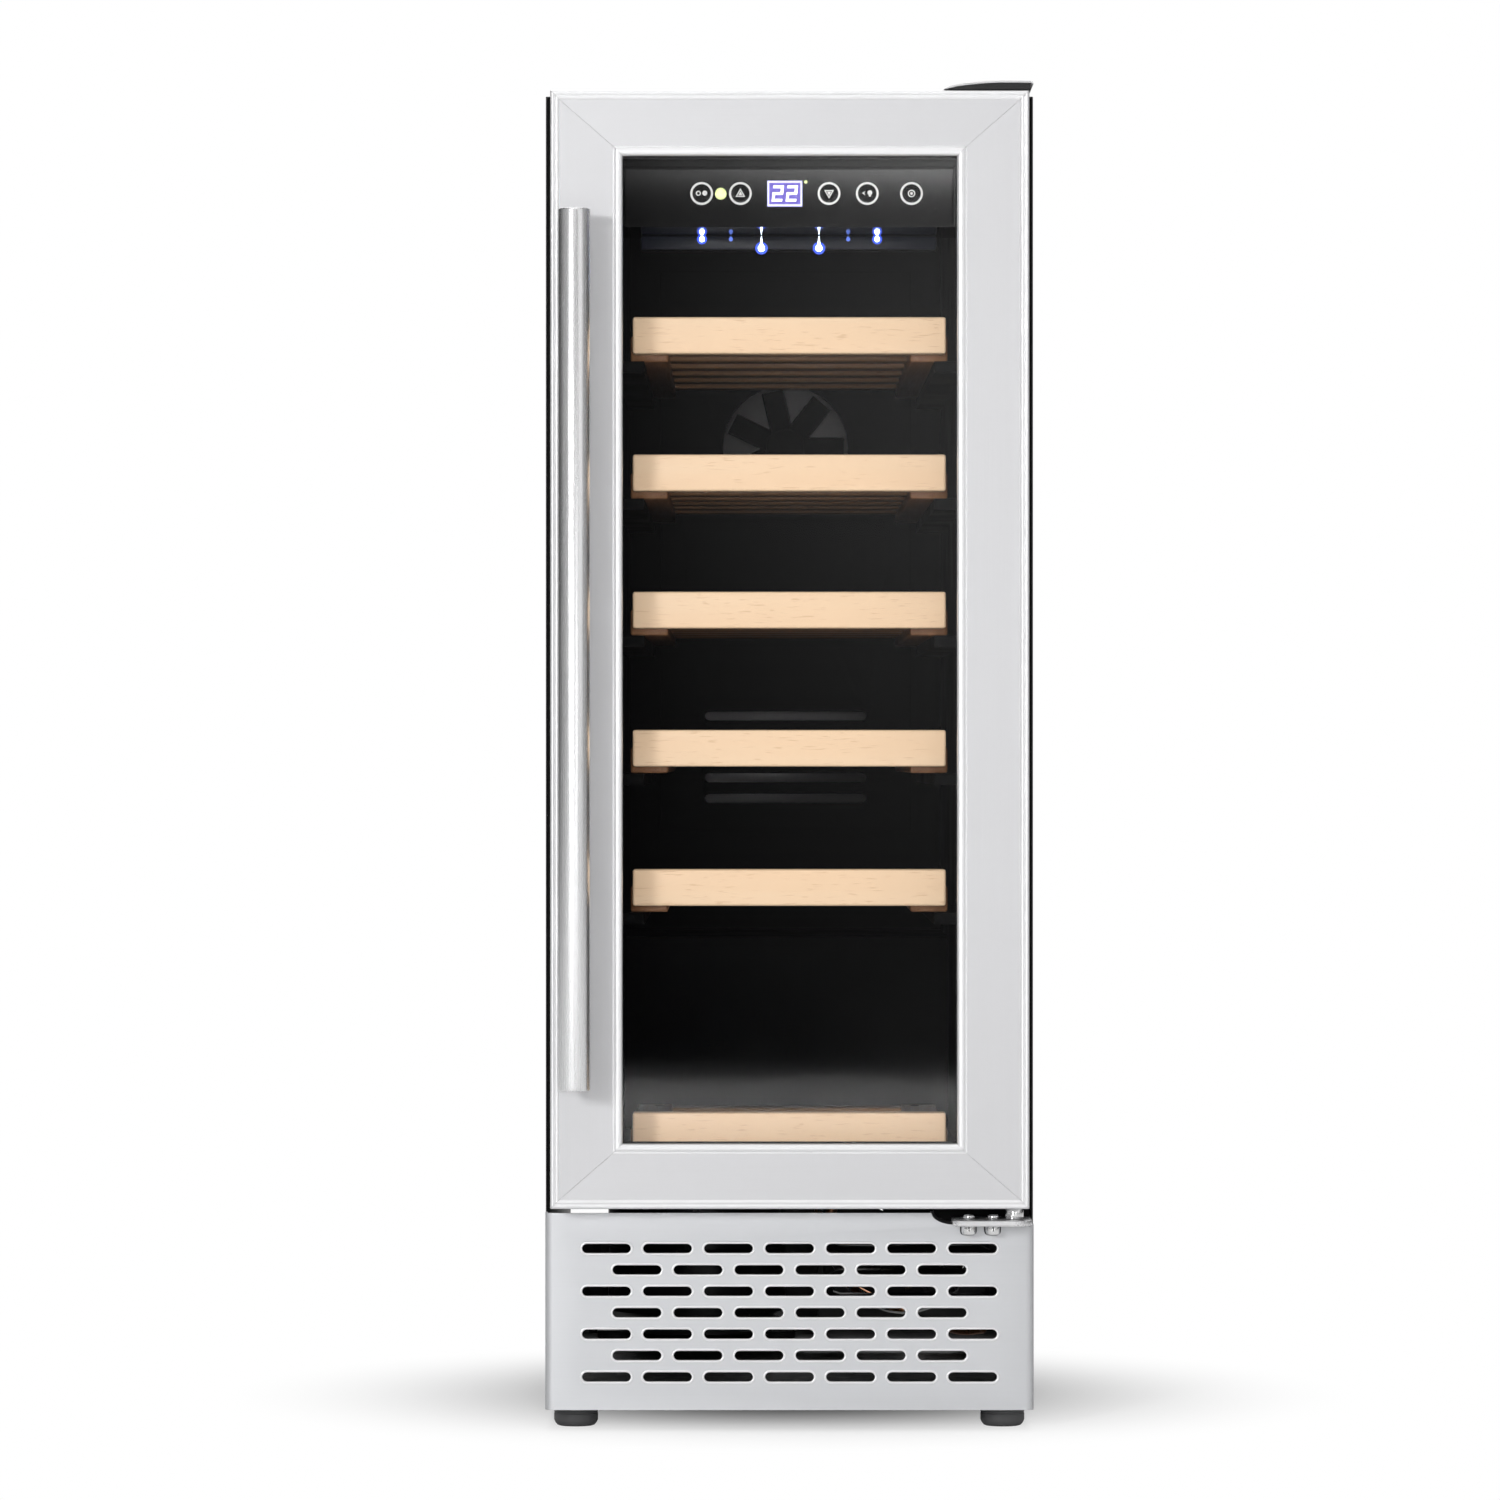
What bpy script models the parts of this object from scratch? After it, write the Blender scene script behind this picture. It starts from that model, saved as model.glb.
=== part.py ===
"""Under-counter wine cooler for a 300 mm niche: cabinet, glass door and six beech racks.

Metres, +Z up. The front faces -Y, and +X is on the right of someone facing the door.
The origin is at the bottom centre of the whole object's box.
"""

import math

import bmesh
import bpy
from mathutils import Matrix, Vector

# Overall size
WIDTH = 0.298
HEIGHT = 0.820
BODY_DEPTH = 0.570
HANDLE_REACH = 0.040
HALF_WIDTH = WIDTH / 2
GAP = 0.0003

# Planes along Y, front to back
BACK = (BODY_DEPTH + HANDLE_REACH) / 2
DOOR_FRONT = BACK - BODY_DEPTH
DOOR_THICKNESS = 0.040
DOOR_BACK = DOOR_FRONT + DOOR_THICKNESS
SEAL_GAP = 0.005
CABINET_FRONT = DOOR_BACK + SEAL_GAP

# Door
DOOR_HALF_WIDTH = 0.145
DOOR_BOTTOM = 0.1371
DOOR_TOP = 0.8139
STILE_WIDTH = 0.0437
RAIL_WIDTH = 0.0394
FRAME_DEPTH = 0.026
FRAME_SHEET = 0.0015
LIP_DEPTH = 0.0045
MITRE_GAP = 0.0002
PANE_THICKNESS = 0.004
PANE_OVERLAP = 0.010
SPACER_WIDTH = 0.008
GLASS_HALF_WIDTH = DOOR_HALF_WIDTH - STILE_WIDTH
GLASS_BOTTOM = DOOR_BOTTOM + RAIL_WIDTH
GLASS_TOP = DOOR_TOP - RAIL_WIDTH
GASKET_WIDTH = 0.014
GASKET_SEAT = 0.0085
GASKET_BOTTOM = 0.1405
GASKET_TOP = 0.8085

# Door hinge
HINGE_X = 0.1365
HINGE_Y = (DOOR_FRONT + DOOR_BACK) / 2
PIN_RADIUS = 0.0035
PIN_REACH = 0.012
PIN_HEAD_RADIUS = 0.005
PIN_NUT_RADIUS = 0.0058
TOP_BRACKET_X = (0.1093, 0.1442)
TOP_BRACKET_SHEET = 0.0025
COVER_SLOPE = ((0.0935, 0), (0.1015, 0.0029), (0.1110, 0.0045))
COVER_CREST_X = (0.1215, 0.1455)
COVER_RIGHT = 0.1475
BOTTOM_BRACKET_X = (0.0990, 0.1472)
BOTTOM_BRACKET_TOP = 0.1295
BOTTOM_BRACKET_LOWEST = 0.118
BOTTOM_BRACKET_SHEET = 0.0033
HINGE_FRONT = DOOR_FRONT + 0.003
BOLT_PLACES = {"bottom_hinge_bolt_inner": 0.1090, "bottom_hinge_bolt_outer": 0.1237}
BOLT_HEAD_RADIUS = 0.0040
BOLT_SHANK_RADIUS = 0.0022
BOLT_HEAD_HEIGHT = 0.003
BOLT_NUT_DROP = 0.006

# Handle
HANDLE_X = -0.1296
HANDLE_RADIUS = 0.0095
HANDLE_BOTTOM = 0.210
HANDLE_TOP = 0.740
HANDLE_Y = DOOR_FRONT - HANDLE_REACH + HANDLE_RADIUS
MOUNT_HEIGHT = 0.034
MOUNT_WIDTH = 0.012
MOUNT_CENTRES = {"handle_mount_top": 0.6634, "handle_mount_bottom": 0.3093}

# Cabinet shell
SHEET = 0.001
CABINET_TOP = 0.8145
FLOOR_CLEARANCE = 0.0125
CAVITY_HALF_WIDTH = 0.1065
CAVITY_BOTTOM = 0.158
CAVITY_TOP = 0.784
CAVITY_BACK = 0.262
STEP_FRONT = 0.090
STEP_TOP = 0.292
STEP_WALL = 0.030
LINER_SHEET = 0.0015
FOAM_BOTTOM = 0.134

# Kick plate and its rows of air slots
KICK_FRONT = -0.235
KICK_TOP = 0.1326
KICK_SHEET = 0.0012
KICK_BEND = 0.005
SLOT_LENGTH = 0.030
SLOT_HEIGHT = 0.006
SLOT_PITCH = 0.0372
SLOT_ROW_PITCH = 0.01305
SLOT_ROWS = 7
SLOTS_IN_LONG_ROW = 7
TOP_SLOT_ROW = 0.111
NOTCH_LEFT = 0.0865
NOTCH_BOTTOM = 0.1255

# Base pan: the folded deck of the machine space
DECK_SHEET = 0.0015
DECK_TOP = 0.0145
PAN_FRONT_INSET = 0.004
PAN_BACK_INSET = 0.003
PAN_FRONT_RISE = 0.012
PAN_BACK_RISE = 0.0685

# Levelling feet
FOOT_RADIUS = 0.0135
FOOT_X = 0.131
FOOT_PLACES = {
    "foot_front_left": (-FOOT_X, -0.200),
    "foot_front_right": (FOOT_X, -0.200),
    "foot_rear_left": (-FOOT_X, 0.280),
    "foot_rear_right": (FOOT_X, 0.280),
}
STEM_RADIUS = 0.004
STEM_TOP = 0.040
PAD_BOTTOM_CHAMFER = (0.002, 0.003)

# Racks, named from the top one down, by the height of the front's top edge
RACK_TOPS = (0.6801, 0.5959, 0.5118, 0.4271, 0.3417, 0.1925)
RACK_FRONT_Y = -0.214
RACK_FRONT_DEPTH = 0.019
RACK_FRONT_HEIGHT = 0.0224
RACK_FRONT_HALF_WIDTH = 0.096
RACK_HALF_WIDTH = 0.0975
RACK_THICKNESS = 0.016
RACK_DROP = 0.0105
RAIL_BAR = 0.023
SLAT_BAR = 0.030
LEDGE_INNER = 0.089
LEDGE_HEIGHT = 0.007

# Control housing
PANEL_FRONT = -0.215
PANEL_SHEET = 0.0025
PANEL_BOTTOM = 0.735
PANEL_DEPTH = 0.085
CONTROL_LINE = 0.7556
BUTTON_RADIUS = 0.007
BUTTON_PLACES = {
    "button_unit": -0.0537,
    "button_up": -0.0300,
    "button_down": 0.0243,
    "button_light": 0.0477,
    "button_power": 0.0748,
}
DISPLAY_X = -0.0028
DISPLAY_WIDTH = 0.0214
DISPLAY_HEIGHT = 0.0155
INDICATOR_X = -0.042
INDICATOR_RADIUS = 0.0035

# Cooling parts
DUCT_HALF_WIDTH = 0.085
DUCT_BOTTOM = 0.360
DUCT_TOP = 0.740
DUCT_FRONT = 0.232
DUCT_FAN_Z = 0.620
DUCT_FAN_RADIUS = 0.040
BLADE_COUNT = 7
DUCT_WALL = 0.002
DUCT_SLOTS = 5
DUCT_SLOT_PITCH = 0.014
COMPRESSOR_PLACE = (-0.060, 0.212, 0.0250)
COMPRESSOR_RADIUS = 0.060
COMPRESSOR_HEIGHT = 0.145
COMPRESSOR_SHOULDER = 0.030
COMPRESSOR_SEAM = 0.058
COMPRESSOR_FLANGE = 0.012
CONDENSER_FAN_PLACE = (0.078, 0.150, 0.090)
CONDENSER_FAN_RADIUS = 0.047
CONDENSER_FAN_DEPTH = 0.016
COIL_Y = 0.120
COIL_X = (0.035, 0.128)
COIL_LOWEST = 0.036
COIL_PITCH = 0.016
COIL_PASSES = 6
COIL_RADIUS = 0.003
TRAY_HALF_SIZE = (0.062, 0.050)
TRAY_HEIGHT = 0.024
TRAY_WALL = 0.0018

# Power inlet on the base pan's rear flange
INLET_X = -0.100
INLET_Z = 0.048
INLET_HALF_SIZE = (0.0137, 0.0107)
INLET_FLANGE_HALF_SIZE = (0.019, 0.0145)
INLET_SOCKET_HALF_SIZE = (0.0120, 0.0085)
INLET_DEPTH = 0.022
INLET_SOCKET_DEPTH = 0.018

WELD = 0.00001
SHARP_ANGLE = math.radians(35)
LOCAL_Z_TO_FRONT = (math.pi / 2, 0, 0)
PLANE_TURNS = {
    "front": LOCAL_Z_TO_FRONT,
    "side": (math.pi / 2, 0, math.pi / 2),
    "top": (0, 0, 0),
}


def new_collection(name):
    collection = bpy.data.collections.new(name)
    bpy.context.scene.collection.children.link(collection)
    return collection


def make_material(name, colour, roughness, metallic=0.0, alpha=1.0):
    material = bpy.data.materials.new(name)
    material.use_nodes = True
    shader = material.node_tree.nodes["Principled BSDF"]
    shader.inputs["Base Color"].default_value = (*colour, 1)
    shader.inputs["Roughness"].default_value = roughness
    shader.inputs["Metallic"].default_value = metallic
    shader.inputs["Alpha"].default_value = alpha
    return material


def add_object(name, data, material, collection):
    obj = bpy.data.objects.new(name, data)
    if material:
        data.materials.append(material)
    collection.objects.link(obj)
    return obj


def mesh_from(bm, name):
    mesh = bpy.data.meshes.new(name)
    bm.to_mesh(mesh)
    bm.free()
    return mesh


def evaluated_copy(source, name, material, collection):
    """Turn a curve, or a mesh with modifiers, into a plain welded mesh with clean shading."""
    bpy.context.view_layer.update()
    depsgraph = bpy.context.evaluated_depsgraph_get()
    mesh = bpy.data.meshes.new_from_object(source.evaluated_get(depsgraph))
    mesh.name = name
    bm = bmesh.new()
    bm.from_mesh(mesh)
    bmesh.ops.remove_doubles(bm, verts=bm.verts, dist=WELD)
    bm.to_mesh(mesh)
    bm.free()
    mesh.materials.clear()
    mesh.shade_smooth()
    mesh.set_sharp_from_angle(angle=SHARP_ANGLE)
    obj = add_object(name, mesh, material, collection)
    obj.matrix_world = source.matrix_world
    bpy.data.objects.remove(source)
    return obj


def box(name, low, high, material, collection):
    """A box between two corners, with its origin at its centre."""
    low, high = Vector(low), Vector(high)
    bm = bmesh.new()
    bmesh.ops.create_cube(bm, size=1)
    bmesh.ops.scale(bm, vec=high - low, verts=bm.verts)
    obj = add_object(name, mesh_from(bm, name), material, collection)
    obj.location = (low + high) / 2
    return obj


def plate(name, outlines, plane, low, high, material, collection):
    """A closed flat outline, with any holes after it, extruded from low to high across its plane."""
    curve = bpy.data.curves.new(name, "CURVE")
    curve.dimensions = "2D"
    curve.fill_mode = "BOTH"
    curve.extrude = (high - low) / 2
    for outline in outlines:
        spline = curve.splines.new("POLY")
        spline.points.add(len(outline) - 1)
        for point, (u, v) in zip(spline.points, outline):
            point.co = (u, v, 0, 1)
        spline.use_cyclic_u = True
    guide = add_object(name + "_outline", curve, None, collection)
    axis = {"front": 1, "side": 0, "top": 2}[plane]
    guide.location[axis] = (low + high) / 2
    guide.rotation_euler = PLANE_TURNS[plane]
    return evaluated_copy(guide, name, material, collection)


def turned(name, profile, place, turn, material, collection, steps=24):
    """A turned piece: (radius, height) points from top to bottom, spun about local Z."""
    bm = bmesh.new()
    verts = [bm.verts.new((radius, 0, height)) for radius, height in profile]
    for start, end in zip(verts, verts[1:]):
        bm.edges.new((start, end))
    guide = add_object(name + "_profile", mesh_from(bm, name), None, collection)
    guide.location = place
    guide.rotation_euler = turn
    spin = guide.modifiers.new("Spin", "SCREW")
    spin.steps = steps
    spin.render_steps = steps
    spin.use_merge_vertices = True
    spin.merge_threshold = WELD
    return evaluated_copy(guide, name, material, collection)


def bevelled(obj, width, segments=2):
    bevel = obj.modifiers.new("Bevel", "BEVEL")
    bevel.width = width
    bevel.segments = segments
    bevel.limit_method = "ANGLE"
    return obj


def combine(obj, tool, operation):
    boolean = obj.modifiers.new(tool.name, "BOOLEAN")
    boolean.operation = operation
    boolean.object = tool
    return obj


def cutter(tool):
    """Keep a tool body out of the model."""
    tool.hide_render = True
    tool.display_type = "WIRE"
    return tool


def joined(name, pieces, collection):
    """One mesh object holding several separate tool bodies."""
    bm = bmesh.new()
    for piece in pieces:
        piece.data.transform(piece.matrix_basis)
        bm.from_mesh(piece.data)
        bpy.data.objects.remove(piece)
    return cutter(add_object(name, mesh_from(bm, name), None, collection))


def rectangle(half_width, bottom, top, centre=0.0):
    return [
        (centre - half_width, bottom),
        (centre + half_width, bottom),
        (centre + half_width, top),
        (centre - half_width, top),
    ]


def obround(centre_u, centre_v, length, height, steps=5):
    """A slot outline with half-round ends."""
    radius = height / 2
    reach = length / 2 - radius
    points = []
    for side, start in ((1, -math.pi / 2), (-1, math.pi / 2)):
        for step in range(steps):
            angle = start + math.pi * step / (steps - 1)
            points.append((
                centre_u + side * reach + radius * math.cos(angle),
                centre_v + radius * math.sin(angle),
            ))
    return points


def circle(centre_u, centre_v, radius, steps=32):
    return [
        (
            centre_u + radius * math.cos(math.tau * step / steps),
            centre_v + radius * math.sin(math.tau * step / steps),
        )
        for step in range(steps)
    ]


def parented(pieces, empty):
    for piece in pieces:
        piece.parent = empty
        piece.matrix_parent_inverse = Matrix.Translation(-empty.location)


def make_empty(name, place, collection):
    empty = bpy.data.objects.new(name, None)
    empty.empty_display_size = 0.03
    empty.location = place
    collection.objects.link(empty)
    return empty


def make_wrap(parts, materials):
    """The painted steel skin over the cabinet's sides and top."""
    outer = [
        (-HALF_WIDTH, FLOOR_CLEARANCE),
        (-HALF_WIDTH, CABINET_TOP),
        (HALF_WIDTH, CABINET_TOP),
        (HALF_WIDTH, FLOOR_CLEARANCE),
    ]
    inner = [
        (HALF_WIDTH - SHEET, FLOOR_CLEARANCE),
        (HALF_WIDTH - SHEET, CABINET_TOP - SHEET),
        (SHEET - HALF_WIDTH, CABINET_TOP - SHEET),
        (SHEET - HALF_WIDTH, FLOOR_CLEARANCE),
    ]
    plate("cabinet_wrap", [outer + inner], "front", CABINET_FRONT, BACK, materials["cabinet"], parts)


def step_outline(margin, front):
    """The cavity's side view, grown by a margin, with its raised floor over the compressor."""
    return [
        (front, CAVITY_BOTTOM - margin),
        (STEP_FRONT + margin, CAVITY_BOTTOM - margin),
        (STEP_FRONT + margin, STEP_TOP - margin),
        (CAVITY_BACK + margin, STEP_TOP - margin),
        (CAVITY_BACK + margin, CAVITY_TOP + margin),
        (front, CAVITY_TOP + margin),
    ]


def make_liner(parts, tools, materials):
    """The moulded cavity with a front flange and a pair of ledges under every rack."""
    liner = plate(
        "inner_liner",
        [step_outline(LINER_SHEET, CABINET_FRONT + LINER_SHEET)],
        "side",
        -CAVITY_HALF_WIDTH - LINER_SHEET,
        CAVITY_HALF_WIDTH + LINER_SHEET,
        materials["liner"],
        parts,
    )
    flange_half_width = HALF_WIDTH - SHEET - GAP
    flange = plate(
        "liner_flange",
        [rectangle(flange_half_width, FOAM_BOTTOM, CABINET_TOP - SHEET - GAP)],
        "front",
        CABINET_FRONT,
        CABINET_FRONT + LINER_SHEET * 2,
        None,
        tools,
    )
    hollow = plate(
        "liner_hollow",
        [step_outline(0, CABINET_FRONT - 0.01)],
        "side",
        -CAVITY_HALF_WIDTH,
        CAVITY_HALF_WIDTH,
        None,
        tools,
    )
    ledges = []
    for top in RACK_TOPS:
        ledge_top = top - RACK_DROP - RACK_THICKNESS - GAP
        ledge_back = min(rack_back(top) + 0.005, CAVITY_BACK - 0.015)
        for side in (-1, 1):
            edges = sorted((side * LEDGE_INNER, side * (CAVITY_HALF_WIDTH + LINER_SHEET / 2)))
            low = (edges[0], CABINET_FRONT + 0.012, ledge_top - LEDGE_HEIGHT)
            high = (edges[1], ledge_back, ledge_top)
            ledges.append(box("ledge", low, high, None, tools))
    combine(liner, cutter(flange), "UNION")
    combine(liner, cutter(hollow), "DIFFERENCE")
    combine(liner, joined("liner_ledges", ledges, tools), "UNION")


def make_foam(parts, tools, materials):
    """The insulation foamed between the skin and the liner."""
    outer = [
        (CABINET_FRONT + LINER_SHEET * 2 + GAP, FOAM_BOTTOM),
        (STEP_FRONT + STEP_WALL, FOAM_BOTTOM),
        (STEP_FRONT + STEP_WALL, STEP_TOP - STEP_WALL),
        (BACK - SHEET * 1.5 - GAP, STEP_TOP - STEP_WALL),
        (BACK - SHEET * 1.5 - GAP, CABINET_TOP - SHEET - GAP),
        (CABINET_FRONT + LINER_SHEET * 2 + GAP, CABINET_TOP - SHEET - GAP),
    ]
    half_width = HALF_WIDTH - SHEET - GAP
    foam = plate("insulation_foam", [outer], "side", -half_width, half_width, materials["foam"], parts)
    margin = LINER_SHEET + GAP
    hollow = plate(
        "foam_hollow",
        [step_outline(margin, CABINET_FRONT - 0.01)],
        "side",
        -CAVITY_HALF_WIDTH - margin,
        CAVITY_HALF_WIDTH + margin,
        None,
        tools,
    )
    combine(foam, cutter(hollow), "DIFFERENCE")


def make_back_panel(parts, materials):
    half_width = HALF_WIDTH - SHEET - GAP
    bottom = STEP_TOP - STEP_WALL
    low = (-half_width, BACK - SHEET * 1.5, bottom)
    high = (half_width, BACK, CABINET_TOP - SHEET - GAP)
    box("back_panel", low, high, materials["galvanised"], parts)


def make_base_pan(parts, tools, materials):
    """The folded deck under the compressor, with holes for the feet and the power inlet."""
    half_width = HALF_WIDTH - SHEET - GAP
    front = CABINET_FRONT + PAN_FRONT_INSET
    back = BACK - PAN_BACK_INSET
    bottom = DECK_TOP - DECK_SHEET
    profile = [
        (front, bottom),
        (back, bottom),
        (back, DECK_TOP + PAN_BACK_RISE),
        (back - DECK_SHEET, DECK_TOP + PAN_BACK_RISE),
        (back - DECK_SHEET, DECK_TOP),
        (front + DECK_SHEET, DECK_TOP),
        (front + DECK_SHEET, DECK_TOP + PAN_FRONT_RISE),
        (front, DECK_TOP + PAN_FRONT_RISE),
    ]
    pan = plate("base_pan", [profile], "side", -half_width, half_width, materials["galvanised"], parts)
    for x, y in FOOT_PLACES.values():
        hole_outline = circle(x, y, STEM_RADIUS + GAP, 24)
        hole = plate("stem_hole", [hole_outline], "top", bottom - GAP, DECK_TOP + GAP, None, tools)
        combine(pan, cutter(hole), "DIFFERENCE")
    half_x, half_z = INLET_HALF_SIZE
    reach = Vector((half_x + GAP, 2 * DECK_SHEET, half_z + GAP))
    centre = Vector((INLET_X, back, INLET_Z))
    combine(pan, cutter(box("inlet_window", centre - reach, centre + reach, None, tools)), "DIFFERENCE")


def make_power_inlet(parts, tools, materials):
    """A three-pin appliance inlet: a flanged body with a socket open to the back."""

    def block(name, half_size, front, back, material, collection):
        half_x, half_z = half_size
        low = (INLET_X - half_x, front, INLET_Z - half_z)
        high = (INLET_X + half_x, back, INLET_Z + half_z)
        return box(name, low, high, material, collection)

    rear = BACK - PAN_BACK_INSET + GAP
    body_back = BACK - 2 * GAP
    body = block("power_inlet", INLET_HALF_SIZE, rear - INLET_DEPTH, body_back, materials["socket"], parts)
    flange = block("inlet_flange", INLET_FLANGE_HALF_SIZE, rear, BACK - GAP, None, tools)
    socket = block(
        "inlet_socket", INLET_SOCKET_HALF_SIZE, rear - INLET_SOCKET_DEPTH, BACK + INLET_DEPTH, None, tools
    )
    combine(body, cutter(flange), "UNION")
    combine(body, cutter(socket), "DIFFERENCE")


def slot_outlines():
    """Air slots in rows that alternate between a long row and one half a pitch in."""
    for row in range(SLOT_ROWS):
        count = SLOTS_IN_LONG_ROW - row % 2
        height = TOP_SLOT_ROW - row * SLOT_ROW_PITCH
        for index in range(count):
            centre = (index - (count - 1) / 2) * SLOT_PITCH
            yield obround(centre, height, SLOT_LENGTH, SLOT_HEIGHT)


def make_kick_plate(parts, tools, materials):
    """A folded plate with rounded vertical edges, air slots and a notch for the hinge bracket."""
    half = HALF_WIDTH

    def folded(half_width, front, bend):
        arc = [
            (
                half_width - bend + bend * math.sin(step * math.pi / 8),
                front + bend - bend * math.cos(step * math.pi / 8),
            )
            for step in range(5)
        ]
        return [(-x, y) for x, y in reversed(arc)] + arc

    outer = folded(half, KICK_FRONT, KICK_BEND)
    inner = folded(half - KICK_SHEET, KICK_FRONT + KICK_SHEET, KICK_BEND - KICK_SHEET)
    back = CABINET_FRONT - GAP
    outline = [(-half, back)] + outer + [(half, back), (half - KICK_SHEET, back)]
    outline += list(reversed(inner)) + [(KICK_SHEET - half, back)]
    kick = plate(
        "kick_plate", [outline], "top", FLOOR_CLEARANCE, KICK_TOP, materials["stainless"], parts
    )
    slots = [
        plate("slot", [slot], "front", KICK_FRONT - 0.002, KICK_FRONT + 0.004, None, tools)
        for slot in slot_outlines()
    ]
    combine(kick, joined("kick_plate_slots", slots, tools), "DIFFERENCE")
    sweep = NOTCH_BOTTOM - KICK_TOP
    notch_steps = 6
    notch = [
        (
            NOTCH_LEFT + 0.014 * (1 - math.cos(step * math.pi / 2 / notch_steps)),
            KICK_TOP + sweep * math.sin(step * math.pi / 2 / notch_steps),
        )
        for step in range(notch_steps + 1)
    ]
    notch += [(half + 0.01, NOTCH_BOTTOM), (half + 0.01, KICK_TOP + 0.01), (NOTCH_LEFT, KICK_TOP + 0.01)]
    combine(
        kick,
        cutter(plate("kick_plate_notch", [notch], "front", KICK_FRONT - 0.002, CABINET_FRONT, None, tools)),
        "DIFFERENCE",
    )


def make_feet(parts, materials):
    """Levelling feet: a rubber pad and the stem that screws up through the base pan."""
    pad_top = FLOOR_CLEARANCE - GAP
    chamfer_width, chamfer_height = PAD_BOTTOM_CHAMFER
    profile = [
        (0, STEM_TOP),
        (STEM_RADIUS, STEM_TOP),
        (STEM_RADIUS, pad_top),
        (FOOT_RADIUS, pad_top),
        (FOOT_RADIUS, chamfer_height),
        (FOOT_RADIUS - chamfer_width, 0),
        (0, 0),
    ]
    for name, (x, y) in FOOT_PLACES.items():
        turned(name, profile, (x, y, 0), (0, 0, 0), materials["foot"], parts)


def make_top_hinge(parts, materials):
    """The fixed top bracket with its pin, under a low sheet cover with a sloping end."""
    seat = CABINET_TOP + GAP
    bracket_top = seat + TOP_BRACKET_SHEET
    left, right = TOP_BRACKET_X
    low = (left, HINGE_FRONT + 0.002, seat)
    high = (right, CABINET_FRONT + 0.048, bracket_top)
    box("top_hinge_bracket", low, high, materials["black_steel"], parts)
    crest_left, crest_right = COVER_CREST_X
    inside_left, inside_right = left - GAP, right + GAP
    section = [(x, seat + rise) for x, rise in COVER_SLOPE]
    section += [
        (crest_left, HEIGHT),
        (crest_right, HEIGHT),
        (COVER_RIGHT, seat),
        (inside_right, seat),
        (inside_right, bracket_top + GAP),
        (inside_left, bracket_top + GAP),
        (inside_left, seat),
    ]
    cover_back = CABINET_FRONT + 0.050
    plate("top_hinge_cover", [section], "front", HINGE_FRONT, cover_back, materials["stainless"], parts)
    pin_profile = [
        (0, seat - GAP),
        (PIN_HEAD_RADIUS, seat - GAP),
        (PIN_HEAD_RADIUS, DOOR_TOP + GAP),
        (PIN_RADIUS, DOOR_TOP + GAP),
        (PIN_RADIUS, DOOR_TOP - PIN_REACH),
        (0, DOOR_TOP - PIN_REACH),
    ]
    turned("top_hinge_pin", pin_profile, (HINGE_X, HINGE_Y, 0), (0, 0, 0), materials["pin"], parts)


def bolt_profile():
    """A bolt through the bottom bracket: its head on top, its shank and the nut below."""
    top = BOTTOM_BRACKET_TOP
    under = top - BOTTOM_BRACKET_SHEET
    edge = 0.001
    return [
        (0, top + BOLT_HEAD_HEIGHT),
        (BOLT_HEAD_RADIUS - edge, top + BOLT_HEAD_HEIGHT),
        (BOLT_HEAD_RADIUS, top + BOLT_HEAD_HEIGHT - edge),
        (BOLT_HEAD_RADIUS, top + GAP),
        (BOLT_SHANK_RADIUS, top + GAP),
        (BOLT_SHANK_RADIUS, under - GAP),
        (BOLT_HEAD_RADIUS, under - GAP),
        (BOLT_HEAD_RADIUS, under - BOLT_NUT_DROP),
        (0, under - BOLT_NUT_DROP),
    ]


def make_bottom_hinge(parts, tools, materials):
    """The fixed bottom bracket that carries the door, its pin and two clamping bolts."""
    top = BOTTOM_BRACKET_TOP
    under = top - BOTTOM_BRACKET_SHEET
    flange_front = CABINET_FRONT - 0.0045
    flange_back = flange_front + BOTTOM_BRACKET_SHEET
    left, right = BOTTOM_BRACKET_X
    profile = [
        (HINGE_FRONT, under),
        (flange_front, under),
        (flange_front, BOTTOM_BRACKET_LOWEST),
        (flange_back, BOTTOM_BRACKET_LOWEST),
        (flange_back, top),
        (HINGE_FRONT, top),
    ]
    bracket = plate("bottom_hinge_bracket", [profile], "side", left, right, materials["stainless"], parts)
    nut_top = DOOR_BOTTOM - 0.001
    pin_profile = [
        (0, DOOR_BOTTOM + PIN_REACH),
        (PIN_RADIUS, DOOR_BOTTOM + PIN_REACH),
        (PIN_RADIUS, nut_top),
        (PIN_NUT_RADIUS, nut_top),
        (PIN_NUT_RADIUS, top + GAP),
        (0, top + GAP),
    ]
    turned("bottom_hinge_pin", pin_profile, (HINGE_X, HINGE_Y, 0), (0, 0, 0), materials["pin"], parts)
    bolt_y = KICK_FRONT - 2 * BOLT_HEAD_RADIUS
    for name, x in BOLT_PLACES.items():
        turned(name, bolt_profile(), (x, bolt_y, 0), (0, 0, 0), materials["pin"], parts, 16)
        hole_outline = circle(x, bolt_y, BOLT_SHANK_RADIUS + GAP, 16)
        hole = plate(name + "_hole", [hole_outline], "top", under - GAP, top + GAP, None, tools)
        combine(bracket, cutter(hole), "DIFFERENCE")


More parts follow.
